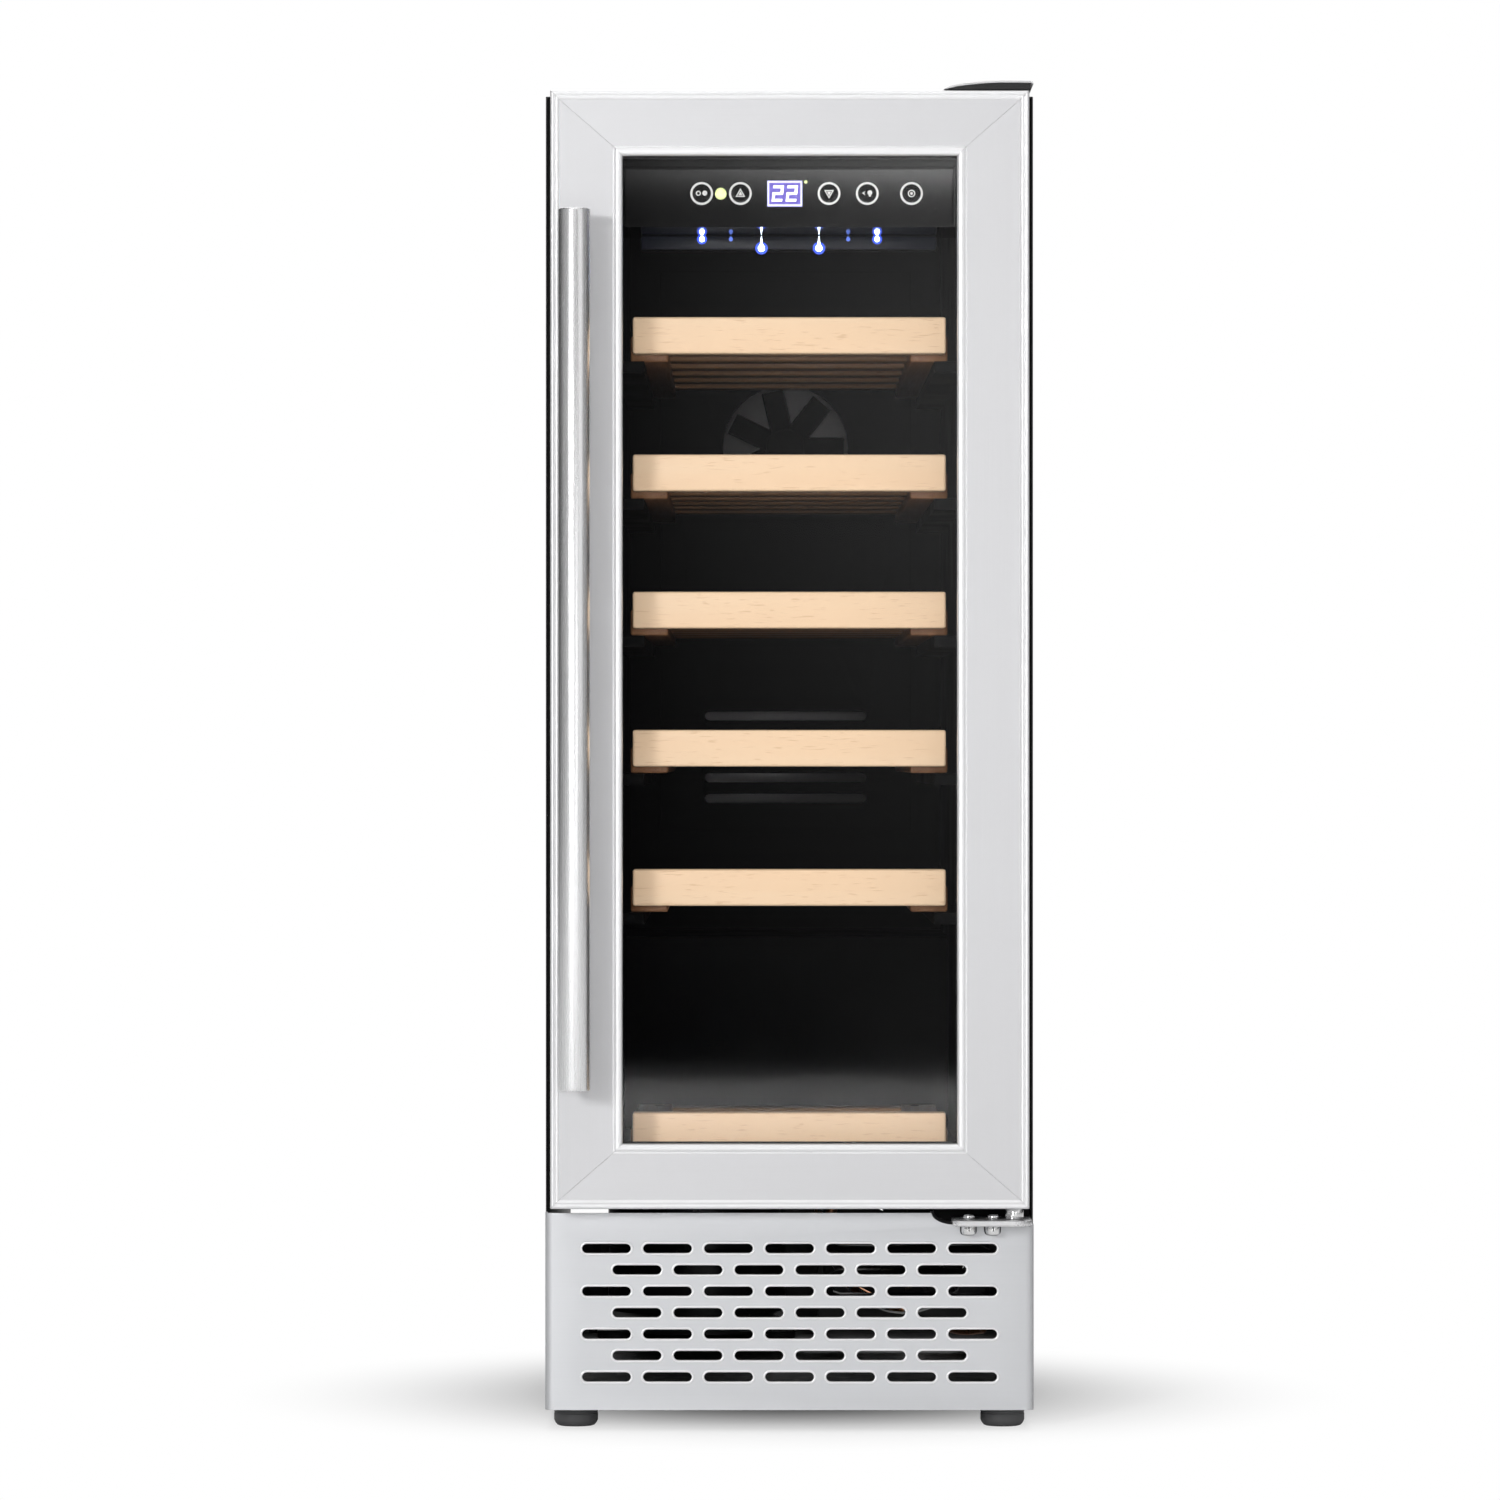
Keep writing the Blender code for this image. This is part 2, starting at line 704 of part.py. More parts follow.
def make_door_frame(parts, tools, materials):
    """Four mitred sheet sections around the glass; returns them."""
    outer = rectangle(DOOR_HALF_WIDTH, DOOR_BOTTOM, DOOR_TOP)
    inner = rectangle(GLASS_HALF_WIDTH, GLASS_BOTTOM, GLASS_TOP)
    pocket_outer = rectangle(
        DOOR_HALF_WIDTH - FRAME_SHEET, DOOR_BOTTOM + FRAME_SHEET, DOOR_TOP - FRAME_SHEET
    )
    lip = rectangle(GLASS_HALF_WIDTH + FRAME_SHEET, GLASS_BOTTOM - FRAME_SHEET, GLASS_TOP + FRAME_SHEET)
    depth_end = DOOR_FRONT + FRAME_DEPTH
    pocket = cutter(plate(
        "frame_pocket", [pocket_outer, lip], "front", DOOR_FRONT + FRAME_SHEET, depth_end + 0.01, None, tools
    ))
    lip_end = cutter(plate(
        "frame_lip_end",
        [rectangle(GLASS_HALF_WIDTH + 0.006, GLASS_BOTTOM - 0.006, GLASS_TOP + 0.006)],
        "front",
        DOOR_FRONT + LIP_DEPTH,
        depth_end + 0.012,
        None,
        tools,
    ))
    hole_radius = PIN_RADIUS + GAP
    pin_hole = cutter(turned(
        "hinge_pin_hole",
        [(0, DOOR_TOP + 0.01), (hole_radius, DOOR_TOP + 0.01), (hole_radius, DOOR_BOTTOM - 0.01),
         (0, DOOR_BOTTOM - 0.01)],
        (HINGE_X, HINGE_Y, 0),
        (0, 0, 0),
        None,
        tools,
    ))
    pieces = []
    for index, side in enumerate(("bottom", "right", "top", "left")):
        after = (index + 1) % 4
        along = (Vector(outer[after]) - Vector(outer[index])).normalized() * MITRE_GAP
        outline = [
            Vector(outer[index]) + along,
            Vector(outer[after]) - along,
            Vector(inner[after]) - along,
            Vector(inner[index]) + along,
        ]
        piece = plate(
            "door_frame_" + side, [outline], "front", DOOR_FRONT, depth_end, materials["stainless"], parts
        )
        combine(piece, pocket, "DIFFERENCE")
        combine(piece, lip_end, "DIFFERENCE")
        if side in ("bottom", "top"):
            combine(piece, pin_hole, "DIFFERENCE")
        pieces.append(piece)
    return pieces


def make_glazing(parts, materials):
    """Two panes held apart by an aluminium spacer; returns them."""
    reach = PANE_OVERLAP
    pane_half_width = GLASS_HALF_WIDTH + reach
    pane_bottom = GLASS_BOTTOM - reach
    pane_top = GLASS_TOP + reach
    outer_front = DOOR_FRONT + LIP_DEPTH + GAP
    inner_back = DOOR_FRONT + FRAME_DEPTH
    spacer_front = outer_front + PANE_THICKNESS + GAP
    spacer_back = inner_back - PANE_THICKNESS - GAP
    outer_pane = box(
        "outer_glass",
        (-pane_half_width, outer_front, pane_bottom),
        (pane_half_width, outer_front + PANE_THICKNESS, pane_top),
        materials["glass"],
        parts,
    )
    inner_pane = box(
        "inner_glass",
        (-pane_half_width, inner_back - PANE_THICKNESS, pane_bottom),
        (pane_half_width, inner_back, pane_top),
        materials["glass"],
        parts,
    )
    spacer = plate(
        "glass_spacer",
        [
            rectangle(pane_half_width - 0.001, pane_bottom + 0.001, pane_top - 0.001),
            rectangle(
                pane_half_width - SPACER_WIDTH, pane_bottom + SPACER_WIDTH, pane_top - SPACER_WIDTH
            ),
        ],
        "front",
        spacer_front,
        spacer_back,
        materials["aluminium"],
        parts,
    )
    return [outer_pane, inner_pane, spacer]


def make_door_inside(parts, materials):
    """The moulded inner frame and the magnetic gasket; returns them."""
    margin = FRAME_SHEET
    inner_frame = plate(
        "door_inner_frame",
        [
            rectangle(DOOR_HALF_WIDTH - margin, DOOR_BOTTOM + margin, DOOR_TOP - margin),
            rectangle(GLASS_HALF_WIDTH, GLASS_BOTTOM, GLASS_TOP),
        ],
        "front",
        DOOR_FRONT + FRAME_DEPTH + GAP,
        DOOR_BACK,
        materials["door_plastic"],
        parts,
    )
    inner_half_width = CAVITY_HALF_WIDTH + GASKET_SEAT
    gasket = plate(
        "door_gasket",
        [
            rectangle(inner_half_width + GASKET_WIDTH, GASKET_BOTTOM, GASKET_TOP),
            rectangle(inner_half_width, GASKET_BOTTOM + GASKET_WIDTH, GASKET_TOP - GASKET_WIDTH),
        ],
        "front",
        DOOR_BACK + GAP,
        CABINET_FRONT - GAP,
        materials["rubber"],
        parts,
    )
    return [inner_frame, gasket]


def make_handle(parts, tools, materials):
    """A round bar on two stand-offs shaped to its back; returns them."""
    chamfer = 0.0012
    bar_profile = [
        (0, HANDLE_TOP),
        (HANDLE_RADIUS - chamfer, HANDLE_TOP),
        (HANDLE_RADIUS, HANDLE_TOP - chamfer),
        (HANDLE_RADIUS, HANDLE_BOTTOM + chamfer),
        (HANDLE_RADIUS - chamfer, HANDLE_BOTTOM),
        (0, HANDLE_BOTTOM),
    ]
    place = (HANDLE_X, HANDLE_Y, 0)
    pieces = [turned("handle_bar", bar_profile, place, (0, 0, 0), materials["stainless"], parts, 32)]
    seat_radius = HANDLE_RADIUS + GAP
    seat_profile = [
        (0, HANDLE_TOP), (seat_radius, HANDLE_TOP), (seat_radius, HANDLE_BOTTOM), (0, HANDLE_BOTTOM)
    ]
    seat = cutter(turned("handle_seat", seat_profile, place, (0, 0, 0), None, tools, 32))
    for name, height in MOUNT_CENTRES.items():
        mount = box(
            name,
            (HANDLE_X - MOUNT_WIDTH / 2, HANDLE_Y + HANDLE_RADIUS / 2, height - MOUNT_HEIGHT / 2),
            (HANDLE_X + MOUNT_WIDTH / 2, DOOR_FRONT - GAP, height + MOUNT_HEIGHT / 2),
            materials["stainless"],
            parts,
        )
        combine(mount, seat, "DIFFERENCE")
        pieces.append(mount)
    return pieces


def make_door(parts, tools, materials):
    pieces = make_door_frame(parts, tools, materials)
    pieces += make_glazing(parts, materials)
    pieces += make_door_inside(parts, materials)
    pieces += make_handle(parts, tools, materials)
    axis_middle = (HINGE_X, HINGE_Y, (DOOR_BOTTOM + DOOR_TOP) / 2)
    parented(pieces, make_empty("door_hinge_axis", axis_middle, parts))


def rack_back(top):
    """The rack's rear edge: racks over the step reach the air duct, the lowest stops at the step."""
    if top - RACK_DROP > STEP_TOP:
        return DUCT_FRONT - 0.012
    return STEP_FRONT - 0.012


def make_rack(number, top, parts, materials):
    """A beech front board and the slatted frame behind it, which slide as one."""
    front = box(
        f"rack_front_{number}",
        (-RACK_FRONT_HALF_WIDTH, RACK_FRONT_Y, top - RACK_FRONT_HEIGHT),
        (RACK_FRONT_HALF_WIDTH, RACK_FRONT_Y + RACK_FRONT_DEPTH, top),
        materials["beech"],
        parts,
    )
    bevelled(front, 0.0012)
    start = RACK_FRONT_Y + RACK_FRONT_DEPTH + GAP
    end = rack_back(top)
    opening_count = 5 if end > STEP_FRONT else 3
    opening = (end - start - SLAT_BAR * (opening_count + 1)) / opening_count
    outlines = [[
        (-RACK_HALF_WIDTH, start), (RACK_HALF_WIDTH, start), (RACK_HALF_WIDTH, end), (-RACK_HALF_WIDTH, end)
    ]]
    for index in range(opening_count):
        opening_start = start + SLAT_BAR + index * (opening + SLAT_BAR)
        outlines.append(rectangle(RACK_HALF_WIDTH - RAIL_BAR, opening_start, opening_start + opening))
    rack_top = top - RACK_DROP
    frame = plate(
        f"rack_frame_{number}",
        outlines,
        "top",
        rack_top - RACK_THICKNESS,
        rack_top,
        materials["dark_beech"],
        parts,
    )
    slide_start = (0, RACK_FRONT_Y, top - RACK_FRONT_HEIGHT / 2)
    parented([front, frame], make_empty(f"rack_{number}_slide", slide_start, parts))


def make_control_housing(parts, tools, materials):
    """The folded fascia with holes for the buttons, the display and the run indicator."""
    panel_top = CAVITY_TOP - GAP
    panel_rear = PANEL_FRONT + PANEL_SHEET
    profile = [
        (PANEL_FRONT, PANEL_BOTTOM),
        (PANEL_FRONT + PANEL_DEPTH, PANEL_BOTTOM),
        (PANEL_FRONT + PANEL_DEPTH, PANEL_BOTTOM + PANEL_SHEET),
        (panel_rear, PANEL_BOTTOM + PANEL_SHEET),
        (panel_rear, panel_top),
        (PANEL_FRONT, panel_top),
    ]
    half_width = CAVITY_HALF_WIDTH - GAP
    fascia = plate(
        "control_fascia", [profile], "side", -half_width, half_width, materials["fascia"], parts
    )
    openings = [circle(x, CONTROL_LINE, BUTTON_RADIUS + GAP, 24) for x in BUTTON_PLACES.values()]
    openings.append(circle(INDICATOR_X, CONTROL_LINE, INDICATOR_RADIUS + GAP, 16))
    openings.append(rectangle(
        DISPLAY_WIDTH / 2 + GAP,
        CONTROL_LINE - DISPLAY_HEIGHT / 2 - GAP,
        CONTROL_LINE + DISPLAY_HEIGHT / 2 + GAP,
        DISPLAY_X,
    ))
    tools_for_openings = [
        plate("opening", [outline], "front", PANEL_FRONT - 0.002, panel_rear + 0.002, None, tools)
        for outline in openings
    ]
    combine(fascia, joined("fascia_openings", tools_for_openings, tools), "DIFFERENCE")
    board_front = panel_rear + 0.0045
    box(
        "control_board",
        (-0.088, board_front, CONTROL_LINE - 0.014),
        (0.088, board_front + 0.0016, CONTROL_LINE + 0.014),
        materials["board"],
        parts,
    )
    display_low = (DISPLAY_X - DISPLAY_WIDTH / 2, PANEL_FRONT - GAP, CONTROL_LINE - DISPLAY_HEIGHT / 2)
    display_high = (DISPLAY_X + DISPLAY_WIDTH / 2, board_front - GAP, CONTROL_LINE + DISPLAY_HEIGHT / 2)
    box("display_window", display_low, display_high, materials["display"], parts)


def make_controls(parts, materials):
    """Push buttons held behind the fascia by a flange, and the run indicator lamp."""
    face = -PANEL_FRONT + 0.0008
    rear = -(PANEL_FRONT + PANEL_SHEET + GAP)
    button_profile = [
        (0, face),
        (BUTTON_RADIUS - 0.0004, face),
        (BUTTON_RADIUS, face - 0.0004),
        (BUTTON_RADIUS, rear),
        (BUTTON_RADIUS + 0.0012, rear),
        (BUTTON_RADIUS + 0.0012, rear - 0.0012),
        (0, rear - 0.0012),
    ]
    for name, x in BUTTON_PLACES.items():
        turned(name, button_profile, (x, 0, CONTROL_LINE), LOCAL_Z_TO_FRONT, materials["button"], parts)
    lamp_profile = [
        (0, face + 0.0004),
        (INDICATOR_RADIUS * 0.7, face),
        (INDICATOR_RADIUS, face - 0.0008),
        (INDICATOR_RADIUS, rear - 0.0035),
        (0, rear - 0.0035),
    ]
    lamp_place = (INDICATOR_X, 0, CONTROL_LINE)
    turned("run_indicator", lamp_profile, lamp_place, LOCAL_Z_TO_FRONT, materials["lamp"], parts, 16)


def make_light_bar(parts, materials):
    low = (-0.092, PANEL_FRONT + PANEL_DEPTH - 0.020, PANEL_BOTTOM - 0.009)
    high = (0.092, PANEL_FRONT + PANEL_DEPTH - 0.006, PANEL_BOTTOM - GAP)
    bevelled(box("light_bar", low, high, materials["light"], parts), 0.0015)


def make_rotor(name, radius, depth, place, parts, tools, material):
    """A bladed fan wheel turning about Y, with its origin at the hub's centre."""
    hub_radius = radius * 0.34
    hub_profile = [
        (0, depth / 2),
        (hub_radius - 0.0015, depth / 2),
        (hub_radius, depth / 2 - 0.0015),
        (hub_radius, -depth / 2),
        (0, -depth / 2),
    ]
    rotor = turned(name, hub_profile, place, LOCAL_Z_TO_FRONT, material, parts, 28)
    blades = []
    blade_length = radius - hub_radius + 0.002
    blade_chord = depth * 1.35
    for index in range(BLADE_COUNT):
        blade = box(
            "blade",
            (hub_radius - 0.002, -blade_chord / 2, -0.0008),
            (hub_radius - 0.002 + blade_length, blade_chord / 2, 0.0008),
            None,
            tools,
        )
        pitch = Matrix.Rotation(math.radians(35), 4, "X")
        spoke = Matrix.Rotation(math.tau * index / BLADE_COUNT, 4, "Z")
        blade.matrix_basis = spoke @ Matrix.Translation(blade.location) @ pitch
        blades.append(blade)
    wheel = joined(name + "_blades", blades, tools)
    wheel.location = place
    wheel.rotation_euler = LOCAL_Z_TO_FRONT
    combine(rotor, wheel, "UNION")


def make_cold_side(parts, tools, materials):
    """The evaporator and its fan behind a ducted cover on the cavity's back wall."""
    wall = DUCT_WALL
    back = CAVITY_BACK - GAP
    cover = box(
        "air_duct_cover",
        (-DUCT_HALF_WIDTH, DUCT_FRONT, DUCT_BOTTOM),
        (DUCT_HALF_WIDTH, back, DUCT_TOP),
        materials["liner"],
        parts,
    )
    hollow = box(
        "duct_hollow",
        (wall - DUCT_HALF_WIDTH, DUCT_FRONT + wall, DUCT_BOTTOM + wall),
        (DUCT_HALF_WIDTH - wall, back + 0.01, DUCT_TOP - wall),
        None,
        tools,
    )
    combine(cover, cutter(hollow), "DIFFERENCE")
    openings = [circle(0, DUCT_FAN_Z, DUCT_FAN_RADIUS + 0.0025)]
    lowest_slot = DUCT_BOTTOM + 0.022
    openings += [
        obround(0, lowest_slot + DUCT_SLOT_PITCH * row, 0.110, SLOT_HEIGHT) for row in range(DUCT_SLOTS)
    ]
    vents = [
        plate("vent", [outline], "front", DUCT_FRONT - 0.002, DUCT_FRONT + wall + 0.001, None, tools)
        for outline in openings
    ]
    combine(cover, joined("duct_vents", vents, tools), "DIFFERENCE")
    box(
        "evaporator_plate",
        (-0.076, back - 0.0065, DUCT_BOTTOM + 0.010),
        (0.076, back - 0.0040, DUCT_TOP - 0.010),
        materials["aluminium"],
        parts,
    )
    fan_depth = 0.013
    fan_place = (0, DUCT_FRONT + wall + 0.002 + fan_depth / 2, DUCT_FAN_Z)
    make_rotor(
        "circulation_fan", DUCT_FAN_RADIUS, fan_depth, fan_place, parts, tools, materials["fan"]
    )


def make_compressor(parts, materials):
    """The compressor's welded pot, with its flat bolting flange at the bottom."""
    radius = COMPRESSOR_RADIUS
    shoulder = COMPRESSOR_SHOULDER
    seam = 0.002
    steps = 5
    dome = [
        (
            radius - shoulder + shoulder * math.sin(step * math.pi / 2 / steps),
            COMPRESSOR_HEIGHT - shoulder + shoulder * math.cos(step * math.pi / 2 / steps),
        )
        for step in range(steps + 1)
    ]
    profile = [(0, COMPRESSOR_HEIGHT)] + dome + [
        (radius, COMPRESSOR_SEAM + 2 * seam),
        (radius + seam, COMPRESSOR_SEAM + seam),
        (radius + seam, COMPRESSOR_SEAM - seam),
        (radius, COMPRESSOR_SEAM - 2 * seam),
        (radius, COMPRESSOR_FLANGE),
        (radius + COMPRESSOR_FLANGE, COMPRESSOR_FLANGE / 4),
        (radius + COMPRESSOR_FLANGE, 0),
        (0, 0),
    ]
    turned("compressor", profile, COMPRESSOR_PLACE, (0, 0, 0), materials["black_steel"], parts, 32)


def coil_points():
    """The condenser tube's route: level passes joined by half-round bends."""
    near, far = COIL_X
    radius = COIL_PITCH / 2
    bend_steps = 4
    points = []
    for row in range(COIL_PASSES):
        height = COIL_LOWEST + row * COIL_PITCH
        start, end, side = (near, far, 1) if row % 2 == 0 else (far, near, -1)
        points += [(start, COIL_Y, height), (end, COIL_Y, height)]
        if row == COIL_PASSES - 1:
            break
        for step in range(1, bend_steps):
            angle = math.pi * step / bend_steps - math.pi / 2
            bend_x = end + side * radius * math.cos(angle)
            points.append((bend_x, COIL_Y, height + radius + radius * math.sin(angle)))
    return points


def make_condenser(parts, tools, materials):
    """The serpentine condenser tube with its fan and the fan's shroud."""
    x, y, z = CONDENSER_FAN_PLACE
    half_side = CONDENSER_FAN_RADIUS + 0.010
    depth = CONDENSER_FAN_DEPTH
    rim = [rectangle(half_side, z - half_side, z + half_side, x), circle(x, z, CONDENSER_FAN_RADIUS + 0.004)]
    plate("condenser_fan_shroud", rim, "front", y - depth / 2, y + depth / 2, materials["fan"], parts)
    make_rotor(
        "condenser_fan", CONDENSER_FAN_RADIUS, depth, CONDENSER_FAN_PLACE, parts, tools, materials["fan"]
    )
    curve = bpy.data.curves.new("condenser_coil", "CURVE")
    curve.dimensions = "3D"
    curve.bevel_depth = COIL_RADIUS
    curve.bevel_resolution = 2
    curve.use_fill_caps = True
    points = coil_points()
    spline = curve.splines.new("POLY")
    spline.points.add(len(points) - 1)
    for point, place in zip(spline.points, points):
        point.co = (*place, 1)
    add_object("condenser_coil", curve, materials["black_steel"], parts)


def make_drip_tray(parts, tools, materials):
    """The open tray over the compressor, where its heat dries the defrost water."""
    x, y, z = COMPRESSOR_PLACE
    half_x, half_y = TRAY_HALF_SIZE
    seat = z + COMPRESSOR_HEIGHT + GAP
    low = Vector((x - half_x, y - half_y, seat))
    high = Vector((x + half_x, y + half_y, seat + TRAY_HEIGHT))
    tray = box("drip_tray", low, high, materials["tray"], parts)
    wall = TRAY_WALL
    hollow = box(
        "tray_hollow", low + Vector((wall, wall, wall)), high + Vector((-wall, -wall, wall)), None, tools
    )
    combine(tray, cutter(hollow), "DIFFERENCE")


def make_materials():
    return {
        "cabinet": make_material("cabinet_paint", (0.012, 0.012, 0.013), 0.45),
        "liner": make_material("liner_plastic", (0.010, 0.010, 0.011), 0.5),
        "foam": make_material("foam", (0.75, 0.68, 0.50), 0.9),
        "galvanised": make_material("galvanised_steel", (0.45, 0.46, 0.47), 0.4, 1.0),
        "stainless": make_material("stainless_steel", (0.74, 0.74, 0.76), 0.3, 1.0),
        "black_steel": make_material("black_steel", (0.01, 0.01, 0.01), 0.35, 0.2),
        "pin": make_material("hinge_pin_steel", (0.80, 0.80, 0.80), 0.2, 1.0),
        "foot": make_material("foot_plastic", (0.06, 0.06, 0.06), 0.6),
        "glass": make_material("door_glass", (0.10, 0.10, 0.11), 0.03, 0.0, 0.35),
        "aluminium": make_material("aluminium", (0.60, 0.60, 0.61), 0.35, 1.0),
        "door_plastic": make_material("door_plastic", (0.015, 0.015, 0.016), 0.5),
        "rubber": make_material("gasket_rubber", (0.02, 0.02, 0.02), 0.7),
        "beech": make_material("beech", (0.88, 0.65, 0.43), 0.5),
        "dark_beech": make_material("dark_beech", (0.42, 0.24, 0.12), 0.55),
        "fascia": make_material("fascia_plastic", (0.02, 0.02, 0.02), 0.25),
        "button": make_material("button_plastic", (0.03, 0.03, 0.03), 0.3),
        "display": make_material("display", (0.25, 0.50, 0.95), 0.2),
        "lamp": make_material("lamp", (0.55, 0.85, 0.15), 0.3),
        "light": make_material("light_bar", (0.012, 0.014, 0.022), 0.35),
        "board": make_material("circuit_board", (0.02, 0.20, 0.06), 0.5),
        "fan": make_material("fan_plastic", (0.03, 0.03, 0.03), 0.5),
        "tray": make_material("tray_plastic", (0.55, 0.55, 0.55), 0.6),
        "socket": make_material("socket_plastic", (0.02, 0.02, 0.02), 0.5),
    }


def main():
    for obj in list(bpy.data.objects):
        bpy.data.objects.remove(obj)
    parts = new_collection("wine_cooler")
    tools = new_collection("cutters")
    materials = make_materials()
    make_wrap(parts, materials)
    make_liner(parts, tools, materials)
    make_foam(parts, tools, materials)
    make_back_panel(parts, materials)
    make_base_pan(parts, tools, materials)
    make_power_inlet(parts, tools, materials)
    make_kick_plate(parts, tools, materials)
    make_feet(parts, materials)
    make_top_hinge(parts, materials)
    make_bottom_hinge(parts, tools, materials)
    make_door(parts, tools, materials)
    for number, top in enumerate(RACK_TOPS, start=1):
        make_rack(number, top, parts, materials)
    make_control_housing(parts, tools, materials)
    make_controls(parts, materials)
    make_light_bar(parts, materials)
    make_cold_side(parts, tools, materials)
    make_compressor(parts, materials)
    make_condenser(parts, tools, materials)
    make_drip_tray(parts, tools, materials)


main()
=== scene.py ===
"""Looks for an under-counter wine cooler: finishes, detail pieces, studio and camera.

Metres, +Z up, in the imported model's own frame: the front faces -Y and the floor is at z = 0.
"""

import math

import bmesh
import bpy
from mathutils import Matrix, Vector


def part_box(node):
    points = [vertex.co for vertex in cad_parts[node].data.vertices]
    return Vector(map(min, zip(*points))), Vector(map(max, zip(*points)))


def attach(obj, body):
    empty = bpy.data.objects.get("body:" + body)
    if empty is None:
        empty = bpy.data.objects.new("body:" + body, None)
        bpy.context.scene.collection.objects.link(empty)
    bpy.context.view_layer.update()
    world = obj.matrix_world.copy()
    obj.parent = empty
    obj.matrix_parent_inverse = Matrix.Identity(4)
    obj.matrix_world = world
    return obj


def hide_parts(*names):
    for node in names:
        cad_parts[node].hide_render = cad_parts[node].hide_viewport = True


# Camera
CAMERA_PLACE = (-0.0241, -4.265, 0.4148)
CAMERA_LENS = 158.7
SENSOR_WIDTH = 36.0

# Studio
FLOOR_RADIUS = 9.0
FADE_FROM = 0.05
FADE_TO = 0.37
# Area lights: place, size and watts
LIGHTS = {
    "key_left": ((-1.6, -3.9, 1.05), 0.5, 52.0),
    "fill_right": ((2.6, -2.8, 1.3), 2.2, 9.0),
    "front_top": ((0.1, -2.9, 3.0), 2.0, 16.0),
    "front_left": ((-1.15, -4.5, 0.50), 0.9, 6.0),
    "front_right": ((1.25, -4.5, 0.50), 0.9, 6.0),
    "front_centre": ((0.06, -4.6, 0.60), 0.5, 76.0),
    "back_top": ((0.0, 2.8, 2.6), 2.4, 45.0),
    "overhead": ((0.0, 0.1, 3.4), 3.0, 34.0),
}
MATT_LIGHTS = ("front_centre",)
LIGHT_TARGET = (0.0, 0.0, 0.42)
SKY_FRONT = 0.27
SKY_BACK = 0.02
SKY_SWEEP = (-0.45, 0.3)
SKY_SPOT = (math.cos(math.radians(15)), math.cos(math.radians(7)))
CARD_CENTRE = (0.30, -5.0, 0.75)
CARD_HALF_SIZE = (0.62, 0.80)
CARD_STRENGTH = 3.8
CARD_SWEEP = (-0.66, 0.0)
CARD_FADE = (0.0, 0.22)
CARD_RISE = (
    (0.0, 0.02), (0.08, 0.04), (0.33, 0.12), (0.58, 0.24), (0.70, 0.22), (0.74, 0.08), (0.785, 1.0),
    (0.83, 1.0), (0.90, 0.15), (1.0, 0.0),
)

# Door frame profile: distance from the outer or inner edge, and depth behind the front plane
MITRE_GAP = 0.0001
OUTER_BEAD = (
    (0.0, 0.0260), (0.0, 0.0014), (0.0003, 0.0006), (0.0009, 0.0001), (0.0015, 0.0), (0.0020, 0.0001),
    (0.0024, 0.0005), (0.0028, 0.0006), (0.0032, 0.0003), (0.0038, 0.0001), (0.0044, 0.0002),
    (0.0050, 0.0007), (0.0055, 0.0010),
)
INNER_LIP = (
    (0.0060, 0.0014), (0.0055, 0.0018), (0.0051, 0.0018), (0.0047, 0.0012), (0.0041, 0.0008),
    (0.0032, 0.0006), (0.0020, 0.0007), (0.0010, 0.0012), (0.0003, 0.0020), (0.0, 0.0030), (0.0, 0.0045),
    (0.0014, 0.0045), (0.0014, 0.0036), (0.0060, 0.0034),
)
OUTER_RETURN = ((0.0060, 0.0026), (0.0015, 0.0026), (0.0015, 0.0260))

# Door back: the moulded frame and the gasket, as distances from their own edges
INNER_FRAME_OUTER = (
    (0.0, 0.0), (0.0, 0.0110), (0.0006, 0.0127), (0.0020, 0.0137), (0.0080, 0.0137), (0.0088, 0.0131),
    (0.0096, 0.0131), (0.0104, 0.0137),
)
INNER_FRAME_INNER = (
    (0.0070, 0.0137), (0.0042, 0.0130), (0.0020, 0.0104), (0.0006, 0.0050), (0.0, 0.0), (0.0040, 0.0),
)
GASKET_PROFILE = (
    (0.0006, 0.0), (0.0, 0.0006), (0.0012, 0.0021), (0.0, 0.0036), (0.0008, 0.0044), (0.0050, 0.0044),
    (0.0058, 0.0038), (0.0066, 0.0044), (0.0132, 0.0044), (0.0140, 0.0036), (0.0128, 0.0021),
    (0.0140, 0.0006), (0.0134, 0.0),
)

# Kick plate slots
SLOT_LENGTH = 0.030
SLOT_HEIGHT = 0.006
SLOT_PITCH = 0.0372
SLOT_ROW_PITCH = 0.01305
SLOT_ROWS = 7
SLOTS_IN_LONG_ROW = 7
SLOT_DROP = 0.0216
RIM_HALF_WIDTH = 0.00075
RIM_HEIGHT = 0.0005
MARK_MARGIN = 0.0007
MARK_TOP = 0.1250
MARK_RADIUS = 0.00045

# Hinge well: the lined recess over the kick plate's cut-out
WELL_LEFT = 0.0858
WELL_RIGHT = 0.1465
WELL_SWEEP = 0.0150
WELL_TOP = 0.1335
LINING_TOP = 0.1349
WELL_BOTTOM = 0.1248
WELL_DEPTH = 0.012
FLARE_WIDTH = 0.0024
WELL_SHEET = 0.0006

# Bottom hinge bracket, top bush and handle end
BRACKET_SHEET = 0.0033
BRACKET_NOSE = 0.012
BUSH_RADIUS = 0.0062
HANDLE_EDGE = 0.0012

# Feet: the stem as radius and drop from its top, the pad as inset from its rim and height
FOOT_STEM = ((0, 0), (0.0034, 0), (0.0040, 0.0006), (0.0040, 0.0278))
FOOT_PAD = (
    (0.0012, 0.0122), (0.0004, 0.0118), (0, 0.0110), (0, 0.0085), (0.0003, 0.0082), (0.0003, 0.0078),
    (0, 0.0075), (0, 0.0036), (0.0008, 0.0018), (0.0020, 0.0004), (0.0030, 0),
)

